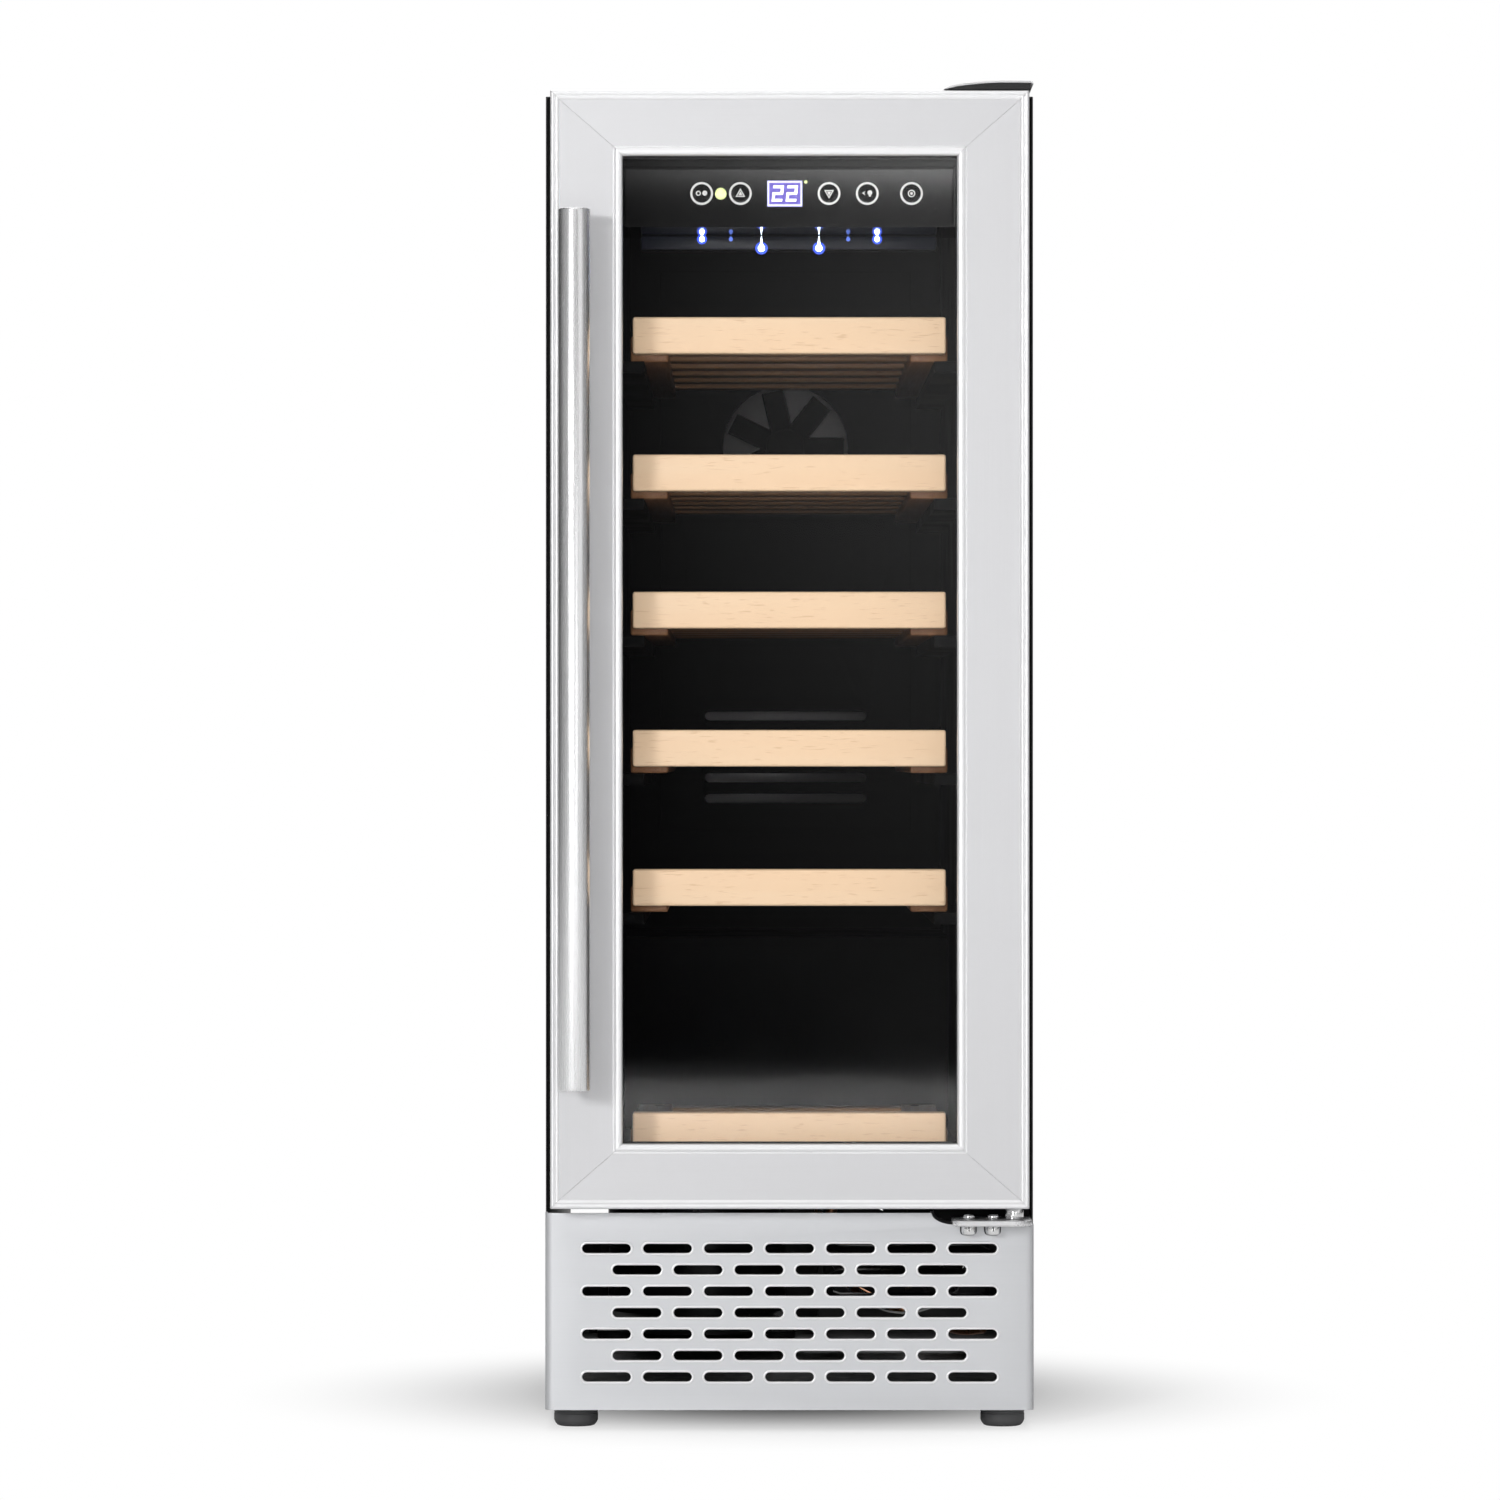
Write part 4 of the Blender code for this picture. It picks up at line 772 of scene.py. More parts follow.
def make_door_moulding():
    """The moulded frame on the door's back, with its gasket channel and a sloping inner edge."""
    low, high = corners("door_inner_frame")
    sight_low = Vector((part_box("door_frame_left")[1][0], 0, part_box("door_frame_bottom")[1][2]))
    sight_high = Vector((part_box("door_frame_right")[0][0], 0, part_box("door_frame_top")[0][2]))
    rings = [ring_corners(low, high, inset, inset, low.y + depth) for inset, depth in INNER_FRAME_OUTER]
    for inset, depth in INNER_FRAME_INNER:
        rings.append(ring_corners(sight_low, sight_high, -inset, -inset, low.y + depth))
    bm = bmesh.new()
    add_loft(bm, rings, round_again=True)
    new_piece("door_back_moulding", bm, "door_plastic", "door", ["door_inner_frame"])


def make_gasket():
    """The magnetic seal, with a fold down each side."""
    low, high = corners("door_gasket")
    bm = bmesh.new()
    rings = [ring_corners(low, high, inset, inset, low.y + depth) for inset, depth in GASKET_PROFILE]
    add_loft(bm, rings, round_again=True)
    new_piece("door_seal", bm, "rubber", "door", ["door_gasket"])


def make_handle():
    """The round bar, with small rounded ends."""
    low, high = corners("handle_bar")
    radius = (high.x - low.x) / 2
    steps = 4
    curve = []
    for step in range(steps + 1):
        angle = math.pi / 2 * step / steps
        curve.append((radius - HANDLE_EDGE * (1 - math.sin(angle)), HANDLE_EDGE * (1 - math.cos(angle))))
    profile = [(0, high.z)] + [(r, high.z - h) for r, h in curve]
    profile += [(r, low.z + h) for r, h in reversed(curve)] + [(0, low.z)]
    bm = bmesh.new()
    add_lathe(bm, profile, middle("handle_bar"), 96)
    new_piece("handle_round_bar", bm, "handle_steel", "door", ["handle_bar"])


# ---------------- kick plate, feet and hinges


def slot_centres():
    """Each slot's place in the kick plate: rows alternate between seven and six."""
    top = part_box("kick_plate")[1][2]
    for row in range(SLOT_ROWS):
        count = SLOTS_IN_LONG_ROW - row % 2
        for index in range(count):
            x = (index - (count - 1) / 2) * SLOT_PITCH
            yield x, top - SLOT_DROP - row * SLOT_ROW_PITCH


def make_slot_rims():
    """A raised, rolled rim round every air slot, in a lighter steel: a painted highlight."""
    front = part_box("kick_plate")[0][1]
    steps = 6
    section = [(-RIM_HALF_WIDTH, -0.0016)]
    section += [
        (-RIM_HALF_WIDTH * math.cos(math.pi * step / steps), RIM_HEIGHT * math.sin(math.pi * step / steps))
        for step in range(steps + 1)
    ]
    section.append((RIM_HALF_WIDTH, -0.0002))
    bm = bmesh.new()
    for x, z in slot_centres():
        place = facing_front(x, front, z)
        loops = []
        for offset, height in section:
            grow = 2 * (offset + RIM_HALF_WIDTH - 0.0002)
            outline = obround(SLOT_LENGTH + grow, SLOT_HEIGHT + grow)
            loops.append([place @ Vector((u, v, height)) for u, v in outline])
        add_loft(bm, loops, round_again=True)
    new_piece("kick_plate_slot_rims", bm, "rim_steel", "cabinet")


def make_pressed_marks():
    """A U-shaped pressing round each bolt's nut and the slot in the nut's side, drawn as black lines: painted
    shade round the nut and in its slot.
    """
    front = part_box("kick_plate")[0][1]
    bm = bmesh.new()
    for bolt in ("bottom_hinge_bolt_inner", "bottom_hinge_bolt_outer"):
        low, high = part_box(bolt)
        x = (low[0] + high[0]) / 2
        left, right, foot = low[0] - MARK_MARGIN, high[0] + MARK_MARGIN, low[2] - MARK_MARGIN
        turns = ((left, MARK_TOP), (left, foot), (right, foot), (right, MARK_TOP))
        outline = [(u, front, v) for u, v in turns]
        add_tube(bm, rounded_path(outline, 0.0025), MARK_RADIUS, 8)
        add_tube(bm, [(x, low[1], MARK_TOP), (x, low[1], MARK_TOP - 0.0028)], MARK_RADIUS, 8)
    new_piece("kick_plate_shade_marks", bm, "black_steel", "cabinet")


def make_feet():
    """Rubber feet with a chamfered pad and two fine grooves, on their steel stems."""
    for name in ("front_left", "front_right", "rear_left", "rear_right"):
        node = "foot_" + name
        low, high = corners(node)
        radius = (high.x - low.x) / 2
        profile = [(r, high.z - drop) for r, drop in FOOT_STEM]
        profile += [(radius - inset, z) for inset, z in FOOT_PAD] + [(0, 0)]
        bm = bmesh.new()
        add_lathe(bm, profile, middle(node), 64)
        new_piece("pad_" + name, bm, "foot", node, [node])


def make_hinge_cover():
    """The top hinge cover: a thin curved steel skin over a black carrier."""
    low, high = corners("top_hinge_cover")
    skin = [(low.x + x, low.z + z) for x, z in COVER_CURVE]
    skin += [(low.x + x, low.z + max(z - COVER_SHEET, 0)) for x, z in reversed(COVER_CURVE)]
    inside = [(low.x + x, max(z - COVER_SHEET - 0.0001, 0)) for x, z in COVER_CURVE[1:-1]]
    carrier = [(x, low.z + z) for x, z in inside] + [(inside[-1][0], low.z), (inside[0][0], low.z)]
    depth = high.y - low.y
    front = facing_front(0, low.y, 0)
    bm = bmesh.new()
    add_prism(bm, skin, front, -depth, 0)
    new_piece("hinge_cover_skin", bm, "hinge_plate", "cabinet", ["top_hinge_cover"])
    bm = bmesh.new()
    add_prism(bm, carrier, front, -depth + 0.001, -0.0012)
    new_piece("hinge_cover_carrier", bm, "black_steel", "cabinet")


def make_top_bush():
    """The bright bush round the top pin, in the gap over the door."""
    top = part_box("top_hinge_pin")[1][2]
    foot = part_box("door_frame_top")[1][2] + 0.0001
    bm = bmesh.new()
    add_lathe(bm, [
        (0, top), (BUSH_RADIUS - 0.0004, top), (BUSH_RADIUS, top - 0.0002), (BUSH_RADIUS, foot), (0, foot),
    ], middle("top_hinge_pin"))
    new_piece("top_hinge_bush", bm, "polished", "cabinet")


def well_edge(offset, steps=10):
    """The cut-out's curved left and lower edge, moved inward by an offset."""
    edge = []
    for step in range(steps + 1):
        angle = math.pi / 2 * step / steps
        x = WELL_LEFT + WELL_SWEEP * (1 - math.cos(angle)) + offset * math.cos(angle)
        z = WELL_TOP + (WELL_BOTTOM - WELL_TOP - 0.0004) * math.sin(angle) + offset * math.sin(angle)
        edge.append((x, z))
    edge.append((WELL_RIGHT, WELL_BOTTOM - 0.0004 + offset))
    return edge


def make_hinge_well():
    """A near-black lining behind the hinge and a darkened steel flare that leads into it round the cut-out:
    painted shade in the well.
    """
    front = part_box("kick_plate")[0][1]
    outline = well_edge(-0.0004) + [(WELL_RIGHT, LINING_TOP), (WELL_LEFT, LINING_TOP)]
    bm = bmesh.new()
    add_prism(bm, outline, facing_front(0, front + WELL_DEPTH, 0), -WELL_SHEET, 0)
    new_piece("hinge_well_lining", bm, "liner", "cabinet")
    bm = bmesh.new()
    loops = []
    for offset, depth in (
        (0.0, 0.0004), (FLARE_WIDTH, 0.0050), (FLARE_WIDTH, WELL_DEPTH),
        (FLARE_WIDTH - WELL_SHEET, WELL_DEPTH), (FLARE_WIDTH - WELL_SHEET, 0.0054), (-0.0003, 0.0010),
    ):
        loops.append([Vector((x, front + depth, z)) for x, z in well_edge(offset)])
    rows = list(zip(*loops))
    caps = add_loft(bm, rows)
    bm.faces.new(caps[0])
    bm.faces.new(caps[-1])
    new_piece("hinge_well_flare", bm, "flare_steel", "cabinet")


def make_bottom_bracket():
    """The bottom hinge bracket: a rounded plate with a folded flange."""
    low, high = corners("bottom_hinge_bracket")
    centre_x, centre_y = high.x - BRACKET_NOSE, low.y + BRACKET_NOSE
    steps = 8
    nose = [
        (centre_x + BRACKET_NOSE * math.cos(angle), centre_y + BRACKET_NOSE * math.sin(angle))
        for angle in (-math.pi / 2 * (1 - step / steps) for step in range(steps + 1))
    ]
    outline = [(low.x + 0.003, low.y)] + nose + [(high.x, high.y), (low.x, high.y), (low.x, low.y + 0.003)]
    bm = bmesh.new()
    add_prism(bm, outline, Matrix.Identity(4), high.z - BRACKET_SHEET, high.z)
    edges = [edge for edge in bm.edges if abs(edge.verts[0].co.z - edge.verts[1].co.z) < WELD]
    bmesh.ops.bevel(bm, geom=edges, offset=0.0006, segments=2, profile=0.5, affect="EDGES")
    flange_low = (low.x, high.y - BRACKET_SHEET, low.z)
    flange_high = (high.x, high.y, high.z - BRACKET_SHEET / 2)
    add_rounded_box(bm, flange_low, flange_high, 0.0006, 2)
    new_piece("hinge_bottom_plate", bm, "hinge_plate", "cabinet", ["bottom_hinge_bracket"])


# ---------------- racks


def slat_starts(low, high):
    """Where each slat begins along Y: evenly spaced, fewer of them in a short rack."""
    gaps = 5 if high.y - low.y > SHORT_RACK_DEPTH else 3
    pitch = (high.y - low.y - SLAT_BAR) / gaps
    return [low.y + index * pitch for index in range(gaps + 1)]


def make_rack(number):
    """A rounded beech board and, behind it, two dark rails joined by screwed slats."""
    body, board, node = f"rack_{number}", f"rack_front_{number}", f"rack_frame_{number}"
    bm = bmesh.new()
    add_rounded_box(bm, *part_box(board), BOARD_ROUNDING, 4)
    new_piece(f"{body}_board", bm, "beech", body, [board])

    low, high = corners(node)
    bm = bmesh.new()
    for start in (low.x, high.x - RAIL_BAR):
        add_rounded_box(bm, (start, low.y, low.z), (start + RAIL_BAR, high.y, high.z), RAIL_ROUNDING)
    new_piece(f"{body}_rails", bm, "dark_rail", body, [node])

    slats = bmesh.new()
    screws = bmesh.new()
    for start in slat_starts(low, high):
        add_rounded_box(
            slats,
            (low.x + RAIL_BAR - SLAT_LAP, start + SLAT_GAP, high.z - SLAT_HEIGHT),
            (high.x - RAIL_BAR + SLAT_LAP, start + SLAT_BAR - SLAT_GAP, high.z - SLAT_DROP),
            SLAT_ROUNDING,
        )
        for x in (low.x + RACK_SCREW_INSET, high.x - RACK_SCREW_INSET):
            add_lathe(screws, RACK_SCREW, Matrix.Translation((x, start + SLAT_BAR / 2, high.z)), 20)
    new_piece(f"{body}_slats", slats, "dark_slat", body)
    new_piece(f"{body}_screws", screws, "polished", body)


# ---------------- controls and lights


def icon_outlines(name):
    """Generic symbols in millimetres: each a list of closed outlines, or outline pairs for bands."""
    triangle = [(0, 3.2), (-3.0, -2.1), (3.0, -2.1)]
    small = [(0, 1.3), (-1.25, -1.1), (1.25, -1.1)]
    if name == "up":
        return [], [(triangle, [(0, 1.9), (-1.95, -1.45), (1.95, -1.45)])], small
    if name == "down":
        turned = [(-u, -v) for u, v in triangle]
        return [], [(turned, [(0, -1.9), (1.95, 1.45), (-1.95, 1.45)])], [(-u, -v) for u, v in small]
    if name == "power":
        return [circle(0.9, 16)], [(circle(2.3, 24), circle(1.6, 24))], None
    if name == "light":
        bulb = circle(1.5, 16, (1.6, 0.4))
        return [bulb, [(0.9, -1.9), (2.3, -1.9), (2.3, -1.1), (0.9, -1.1)]], [], [
            (-3.2, 0.3), (-1.2, 1.4), (-1.9, 0.3), (-1.0, -1.2), (-2.6, -0.2)
        ]
    bulb = circle(1.55, 16, (1.9, 0.2))
    return [bulb], [(circle(1.6, 16, (-2.0, 0.1)), circle(0.9, 16, (-2.0, 0.1)))], None


def make_button_print(name):
    """The printed ring and symbol on a button's face."""
    low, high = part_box("button_" + name)
    centre = facing_front((low[0] + high[0]) / 2, low[1], (low[2] + high[2]) / 2)
    bm = bmesh.new()
    add_band(bm, circle(RING_OUTER), circle(RING_INNER), centre, -0.0004, PRINT_THICKNESS)
    solids, bands, extra = icon_outlines(name)
    scaled = centre @ Matrix.Diagonal((0.001, 0.001, 1, 1))
    for outline in solids + ([extra] if extra else []):
        add_prism(bm, outline, scaled, -0.0001, PRINT_THICKNESS)
    for outer, inner in bands:
        add_band(bm, outer, inner, scaled, -0.0001, PRINT_THICKNESS)
    new_piece(f"button_{name}_print", bm, "print", "button_" + name)


def two_outlines(width, height, thick):
    """The five lit segments of a figure 2, as separate slanted bars."""
    half_w, half_h = width / 2, height / 2
    gap = thick * 0.12

    def bar(u0, v0, u1, v1):
        slant = 0.12
        return [(u + v * slant, v) for u, v in ((u0, v0), (u1, v0), (u1, v1), (u0, v1))]

    return [
        bar(-half_w, half_h - thick, half_w, half_h),
        bar(half_w - thick, gap, half_w, half_h - thick - gap),
        bar(-half_w, -thick / 2, half_w, thick / 2),
        bar(-half_w, -half_h + thick + gap, -half_w + thick, -gap),
        bar(-half_w, -half_h, half_w, -half_h + thick),
    ]


def make_display():
    """The display's dark mask and its two lit digits."""
    low, high = corners("display_window")
    centre = facing_front((low.x + high.x) / 2, low.y, (low.z + high.z) / 2)
    half_w, half_h = (high.x - low.x) / 2 - 0.0012, (high.z - low.z) / 2 - 0.0012
    bm = bmesh.new()
    add_prism(
        bm, [(-half_w, -half_h), (half_w, -half_h), (half_w, half_h), (-half_w, half_h)], centre, 0, 0.00006
    )
    new_piece("display_mask", bm, "display_dark", "cabinet")
    bm = bmesh.new()
    for side in (-1, 1):
        place = centre @ Matrix.Translation((side * DIGIT_PITCH / 2, 0, 0))
        for outline in two_outlines(DIGIT_WIDTH, DIGIT_HEIGHT, SEGMENT_WIDTH):
            add_prism(bm, outline, place, 0, 0.00014)
    new_piece("display_digits", bm, "digit", "cabinet")


def make_status_dot():
    """The small status light beside the display's top corner."""
    right, _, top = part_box("display_window")[1]
    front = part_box("control_fascia")[0][1]
    bm = bmesh.new()
    dome = [(0, 0.0005), (0.0006, 0.0004), (0.0010, 0.0), (0, -0.0003)]
    add_lathe(bm, dome, facing_front(right + 0.0022, front, top - 0.0006), 20)
    new_piece("status_dot", bm, "lamp", "cabinet")


def drop_profile(radius, tail):
    """A drop's outline as (radius, height) points: a round foot that narrows to a thin tip, which as a lit
    lens is painted glare.
    """
    steps = 8
    foot = [
        (radius * math.sin(math.pi * step / steps), -radius * math.cos(math.pi * step / steps))
        for step in range(steps - 1)
    ]
    neck = [(radius * 0.38, radius * 1.25), (radius * 0.24, tail * 0.6), (0.0, tail)]
    return list(reversed(foot + neck))


def make_leds():
    """LED lenses along the light bar: lit drops whose tails are painted glare, the brighter ones in a blue
    disc of painted glow.
    """
    low, high = corners("light_bar")
    lenses = {level: bmesh.new() for level in LED_LEVELS}
    glows = bmesh.new()
    for x, level in LED_PLACES.items():
        size = LED_RADIUS * (0.5 + 0.5 * level)
        z = low.z + LED_RADIUS / 2 if level == 1.0 else high.z - LED_RADIUS
        tail = min(LED_GLARE_TAIL * size, high.z + LED_TAIL_REACH - z)
        add_lathe(lenses[level], drop_profile(size, tail), Matrix.Translation((x, low.y, z)), 24)
        # The brighter LEDs get a blue disc of painted glow
        if level > min(LED_LEVELS):
            surround = [(0, 0.0002), (size * LED_GLOW_DISC[0], 0.0002), (size * LED_GLOW_DISC[1], 0)]
            add_lathe(glows, surround, facing_front(x, low.y, z), 28)
    for level, (name, finish) in LED_LEVELS.items():
        new_piece(name, lenses[level], finish, "cabinet")
    new_piece("led_glow_discs", glows, "led_halo", "cabinet")


# ---------------- inside and back


def make_duct_details():
    """A sensor clip and a cable clip on the air duct's cover."""
    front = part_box("air_duct_cover")[0][1]
    bm = bmesh.new()
    add_rounded_box(bm, (-0.022, front - 0.004, 0.6665), (0.008, front, 0.6705), 0.0008)
    add_rounded_box(bm, (-0.010, front - 0.006, 0.5775), (0.003, front, 0.5840), 0.0012)
    new_piece("duct_clips", bm, "grey_clip", "cabinet")


def make_back_panel():
    """The back sheet with pressed panels, and its screws."""
    low, high = corners("back_panel")
    base, raised = high.y - 0.0010, high.y - 0.0002
    bm = bmesh.new()
    add_rounded_box(bm, low, (high.x, base, high.z), 0.0002, 1)
    pitch = (high.z - low.z - 2 * BACK_MARGIN + BACK_GAP) / BACK_FIELDS
    for index in range(BACK_FIELDS):
        near = Vector((low.x + BACK_MARGIN, 0, low.z + BACK_MARGIN + index * pitch))
        far = Vector((high.x - BACK_MARGIN, 0, near.z + pitch - BACK_GAP))
        steps = ((0, base), (0.0010, base + 0.0003), (0.0022, raised), (0.0060, raised))
        loops = [ring_corners(near, far, inset, inset, depth) for inset, depth in steps]
        rows = add_loft(bm, loops)
        bm.faces.new(rows[-1])
    new_piece("back_sheet", bm, "galvanised", "cabinet", ["back_panel"])
    bm = bmesh.new()
    inset_x, inset_z = BACK_SCREW_INSET
    for x in (low.x + inset_x, high.x - inset_x):
        for step in range(BACK_SCREWS):
            z = low.z + inset_z + (high.z - low.z - 2 * inset_z) * step / (BACK_SCREWS - 1)
            add_screw(bm, facing_back(x, base, z))
    new_piece("back_screws", bm, "polished", "cabinet")


def add_screw(bm, place, radius=0.0034, height=0.0009):
    """A low pan head with a round recess."""
    shape = ((0, 0.5), (0.40, 0.5), (0.45, 1.0), (0.75, 0.9), (1.0, 0.3), (1.0, 0.0))
    profile = [(radius * share, height * rise) for share, rise in shape] + [(0, -0.0005)]
    add_lathe(bm, profile, place, 20)


def make_inlet_pins():
    """Three flat contact pins in the power inlet."""
    low, high = corners("power_inlet")
    x, z = (low.x + high.x) / 2, (low.z + high.z) / 2
    bm = bmesh.new()
    for u, v in ((-0.0070, -0.0015), (0.0, 0.0020), (0.0070, -0.0015)):
        add_rounded_box(
            bm,
            (x + u - 0.0010, low.y + 0.004, z + v - 0.0020),
            (x + u + 0.0010, high.y - 0.0040, z + v + 0.0020),
            0.0004,
            2,
        )
    new_piece("inlet_pins", bm, "polished", "cabinet")


def make_compressor_details():
    """The compressor's terminal cover, its rubber mounts with their bolts, and its cradle."""
    low, high = corners("compressor")
    x, y = (low.x + high.x) / 2, (low.y + high.y) / 2
    bm = bmesh.new()
    cover = [Vector((high.x, y, low.z)) + Vector(corner) for corner in TERMINAL_COVER]
    add_rounded_box(bm, *cover, 0.004)
    new_piece("terminal_cover", bm, "socket", "cabinet")
    bm = bmesh.new()
    for side_x in (-1, 1):
        for side_y in (-1, 1):
            place = (x + side_x * MOUNT_REACH, y + side_y * MOUNT_REACH, low.z - MOUNT_DROP)
            add_lathe(bm, MOUNT_PROFILE, Matrix.Translation(place), 24)
    new_piece("compressor_mounts", bm, "rubber", "cabinet")
    bm = bmesh.new()
    reach = MOUNT_REACH + 0.010
    cradle_low = (x - reach, y - reach, low.z + 0.0005)
    cradle_high = (x + reach, y + reach, low.z + 0.0030)
    add_rounded_box(bm, cradle_low, cradle_high, 0.0010, 2)
    new_piece("compressor_cradle", bm, "black_steel", "cabinet")


def make_pipes():
    """Copper refrigerant pipes: discharge to the coil, suction up to the cold side, and a drier."""
    low, high = corners("compressor")
    coil_low, coil_high = corners("condenser_coil")
    y = (low.y + high.y) / 2
    coil_y = (coil_low.y + coil_high.y) / 2
    bm = bmesh.new()
    discharge = [
        (high.x - 0.014, y - 0.035, low.z + 0.110), (high.x + 0.006, y - 0.045, low.z + 0.112),
        (high.x + 0.010, coil_y + 0.030, 0.105), (0.024, coil_y, 0.100),
        (0.034, coil_y, coil_high.z - 0.0035),
    ]
    suction = [
        (low.x + 0.012, y + 0.030, low.z + 0.105), (low.x + 0.004, y + 0.050, low.z + 0.110),
        (low.x + 0.002, y + 0.056, 0.200), (-0.110, 0.270, 0.235), (-0.100, 0.272, 0.2625),
    ]
    process = [
        (low.x + 0.030, high.y - 0.014, low.z + 0.095), (low.x + 0.026, high.y + 0.002, low.z + 0.100),
        (low.x + 0.022, high.y + 0.006, low.z + 0.135),
    ]
    for route in (discharge, suction, process):
        add_tube(bm, rounded_path(route, 0.014), 0.0030)
    new_piece("refrigerant_pipes", bm, "copper", "cabinet")
    bm = bmesh.new()
    add_lathe(bm, DRIER_PROFILE, Matrix.Translation(DRIER_PLACE), 28)
    capillary = [
        (0.040, 0.235, 0.168), (0.040, 0.236, 0.190), (0.030, 0.250, 0.215), (0.020, 0.262, 0.2625)
    ]
    add_tube(bm, rounded_path(capillary, 0.012), 0.0013, 8)
    feed = [(0.040, 0.235, 0.066), (0.040, 0.232, 0.052), (0.090, 0.200, 0.030), (0.118, 0.150, 0.026),
            (0.132, coil_y + 0.006, 0.030), (0.128, coil_y, coil_low.z + 0.003)]
    add_tube(bm, rounded_path(feed, 0.012), 0.0025, 10)
    new_piece("filter_drier", bm, "copper", "cabinet")


def make_wiring():
    """Sleeved wires from the inlet and the fan to the compressor's terminal cover."""
    low, high = corners("power_inlet")
    inlet_x = (low.x + high.x) / 2
    bm = bmesh.new()
    supply = [
        (inlet_x, low.y + 0.001, 0.046), (inlet_x + 0.006, 0.276, 0.030),
        (-0.080, 0.287, 0.019), (0.010, 0.287, 0.019), (0.026, 0.262, 0.022),
        (0.030, 0.225, 0.060), (0.018, 0.214, 0.080),
    ]
    fan_lead = [(0.040, 0.159, 0.040), (0.034, 0.172, 0.032), (0.030, 0.190, 0.060), (0.018, 0.205, 0.088)]
    riser = [(0.014, 0.226, 0.105), (0.030, 0.262, 0.135), (0.058, 0.286, 0.170), (0.062, 0.288, 0.2625)]
    for route, radius in ((supply, 0.0035), (fan_lead, 0.0018), (riser, 0.0028)):
        add_tube(bm, rounded_path(route, 0.012), radius, 10)
    new_piece("machine_wiring", bm, "wire", "cabinet")


def make_fan_guard():
    """A wire guard of rings and spokes on the back of the condenser fan's shroud."""
    low, high = corners("condenser_fan_shroud")
    x, z = (low.x + high.x) / 2, (low.z + high.z) / 2
    y = high.y + GUARD_STANDOFF
    bm = bmesh.new()
    for radius in GUARD_RINGS:
        ring = [(x + u, y, z + v) for u, v in circle(radius, 48)]
        add_tube(bm, ring, GUARD_WIRE, 8, closed=True)
    for step in range(4):
        angle = math.pi / 4 + math.pi / 2 * step
        near, far = (
            Vector((x + reach * math.cos(angle), y + 0.0006, z + reach * math.sin(angle)))
            for reach in GUARD_SPOKE_REACH
        )
        add_tube(bm, [near, far], GUARD_SPOKE, 8)
        add_screw(bm, facing_back(far.x, high.y, far.z), 0.0030, 0.003)
    new_piece("condenser_fan_guard", bm, "polished", "cabinet")


# ---------------- studio


def make_lights():
    for name, (place, size, watts) in LIGHTS.items():
        light = bpy.data.lights.new(name, "AREA")
        light.shape = "SQUARE"
        light.size = size
        light.energy = watts
        lamp = place_object(name, light, place)
        lamp.visible_camera = False
        lamp.visible_glossy = name not in MATT_LIGHTS
        aim = (Vector(LIGHT_TARGET) - lamp.location).to_track_quat("-Z", "Y")
        lamp.rotation_euler = aim.to_euler()


def make_sky():
    """A white surround; as light and gloss it is bright in front, with a dark spot straight ahead."""
    world = bpy.data.worlds.new("studio")
    bpy.context.scene.world = world
    world.use_nodes = True
    tree = world.node_tree
    background = tree.nodes["Background"]
    background.inputs["Color"].default_value = (1, 1, 1, 1)
    ahead = multiply(tree, coordinates(tree, "Generated")["Y"], -1.0)
    sweep = remap(tree, ahead, SKY_BACK, SKY_FRONT, *SKY_SWEEP, "SMOOTHSTEP")
    spot = remap(tree, ahead, 1.0, 0.0, *SKY_SPOT, "SMOOTHSTEP")
    rays = add_node(tree, "ShaderNodeLightPath")
    inputs = {0: multiply(tree, sweep, spot), 1: rays.outputs["Is Camera Ray"]}
    seen = add_node(tree, "ShaderNodeMath", inputs, operation="MAXIMUM")
    tree.links.new(seen.outputs[0], background.inputs["Strength"])


def make_reflection_card():
    """A softly graded card behind the camera, seen only as gloss in the glass and the fascia."""
    material = bpy.data.materials.new("reflection_card")
    material.use_nodes = True
    tree = material.node_tree
    tree.nodes.clear()
    half_x, half_z = CARD_HALF_SIZE
    place = coordinates(tree, "Object")
    across = remap(tree, place["X"], 0.0, 1.0, *CARD_SWEEP, "SMOOTHSTEP")
    fade = remap(tree, place["X"], 1.0, 0.0, *CARD_FADE, "SMOOTHSTEP")
    up = add_node(tree, "ShaderNodeFloatCurve", {"Value": remap(tree, place["Y"], 0, 1, -half_z, half_z)})
    curve = up.mapping.curves[0]
    curve.points[0].location, curve.points[1].location = CARD_RISE[0], CARD_RISE[-1]
    for point in CARD_RISE[1:-1]:
        curve.points.new(*point)
    up.mapping.update()
    shape = multiply(tree, multiply(tree, across, up.outputs[0]), fade)
    glow = add_node(tree, "ShaderNodeEmission", {"Strength": multiply(tree, shape, CARD_STRENGTH)})
    output = add_node(tree, "ShaderNodeOutputMaterial")
    tree.links.new(glow.outputs[0], output.inputs["Surface"])
    mesh = bpy.data.meshes.new("reflection_card")
    outline = [(-half_x, -half_z, 0), (half_x, -half_z, 0), (half_x, half_z, 0), (-half_x, half_z, 0)]
    mesh.from_pydata(outline, [], [(0, 1, 2, 3)])
    mesh.materials.append(material)
    card = place_object("reflection_card", mesh, CARD_CENTRE)
    card.rotation_euler = (math.pi / 2, 0, 0)
    card.visible_camera = False
    card.visible_diffuse = False
    card.visible_shadow = False


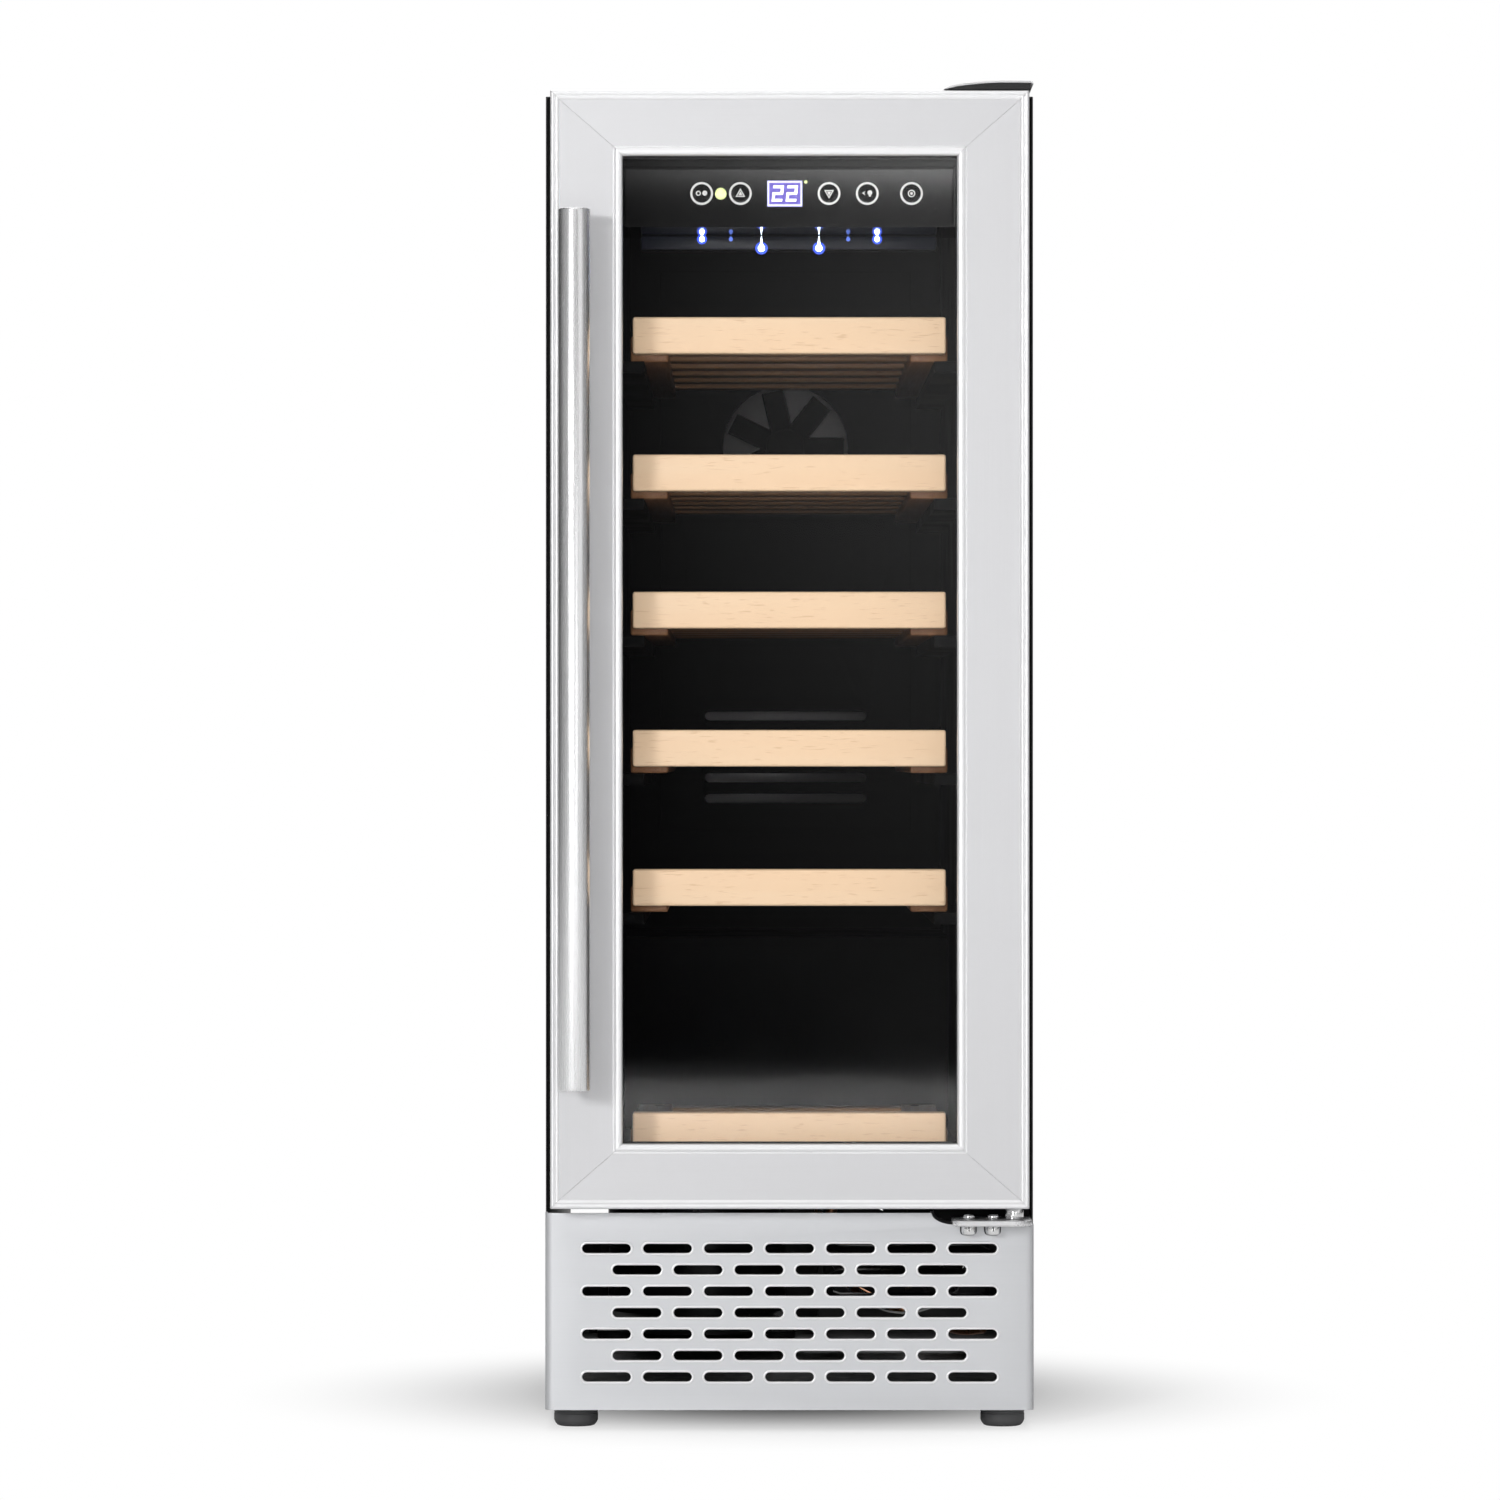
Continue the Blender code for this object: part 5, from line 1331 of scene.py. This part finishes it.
def make_floor():
    """A pale, even studio floor that fades into the white surround far from the object."""
    pale = (0.94, 0.94, 0.94)
    material, tree, shader = surface("studio_floor", pale, 0.85)
    tone = blend_colour(tree, remap(tree, noise(tree, (2, 2, 2)), 0, 1), shade(pale, 0.98), pale)
    paint(tree, shader, tone)
    place = add_node(tree, "ShaderNodeTexCoord")
    distance = add_node(tree, "ShaderNodeVectorMath", {0: place.outputs["Object"]}, operation="LENGTH")
    far = remap(tree, distance.outputs["Value"], 0.0, 1.0, FADE_FROM, FADE_TO, "SMOOTHSTEP")
    rays = add_node(tree, "ShaderNodeLightPath")
    share = multiply(tree, far, rays.outputs["Is Camera Ray"])
    white = add_node(tree, "ShaderNodeEmission", {"Color": (1, 1, 1, 1), "Strength": 1.0})
    fading = add_node(tree, "ShaderNodeMixShader", {0: share, 1: shader.outputs[0], 2: white.outputs[0]})
    tree.links.new(fading.outputs[0], tree.nodes["Material Output"].inputs["Surface"])
    bm = bmesh.new()
    bmesh.ops.create_circle(bm, cap_ends=True, radius=FLOOR_RADIUS, segments=96)
    mesh = bpy.data.meshes.new("studio_floor")
    bm.to_mesh(mesh)
    bm.free()
    mesh.materials.append(material)
    place_object("studio_floor", mesh)


def make_camera():
    camera = bpy.data.cameras.new("camera")
    camera.lens = CAMERA_LENS
    camera.sensor_width = SENSOR_WIDTH
    camera.clip_end = 60
    eye = place_object("camera", camera, CAMERA_PLACE)
    eye.rotation_euler = (math.pi / 2, 0, 0)
    bpy.context.scene.camera = eye


def make_studio():
    make_camera()
    make_sky()
    make_lights()
    make_reflection_card()
    make_floor()
    bpy.context.scene.view_settings.view_transform = "Standard"


def main():
    make_studio()
    finish_cad_nodes()
    make_frame_sections()
    make_door_moulding()
    make_gasket()
    make_handle()
    make_slot_rims()
    make_pressed_marks()
    make_feet()
    make_hinge_cover()
    make_top_bush()
    make_hinge_well()
    make_bottom_bracket()
    for number in range(1, RACK_COUNT + 1):
        make_rack(number)
    for name in BUTTONS:
        make_button_print(name)
    make_display()
    make_status_dot()
    make_leds()
    make_duct_details()
    make_back_panel()
    make_inlet_pins()
    make_compressor_details()
    make_pipes()
    make_wiring()
    make_fan_guard()


main()
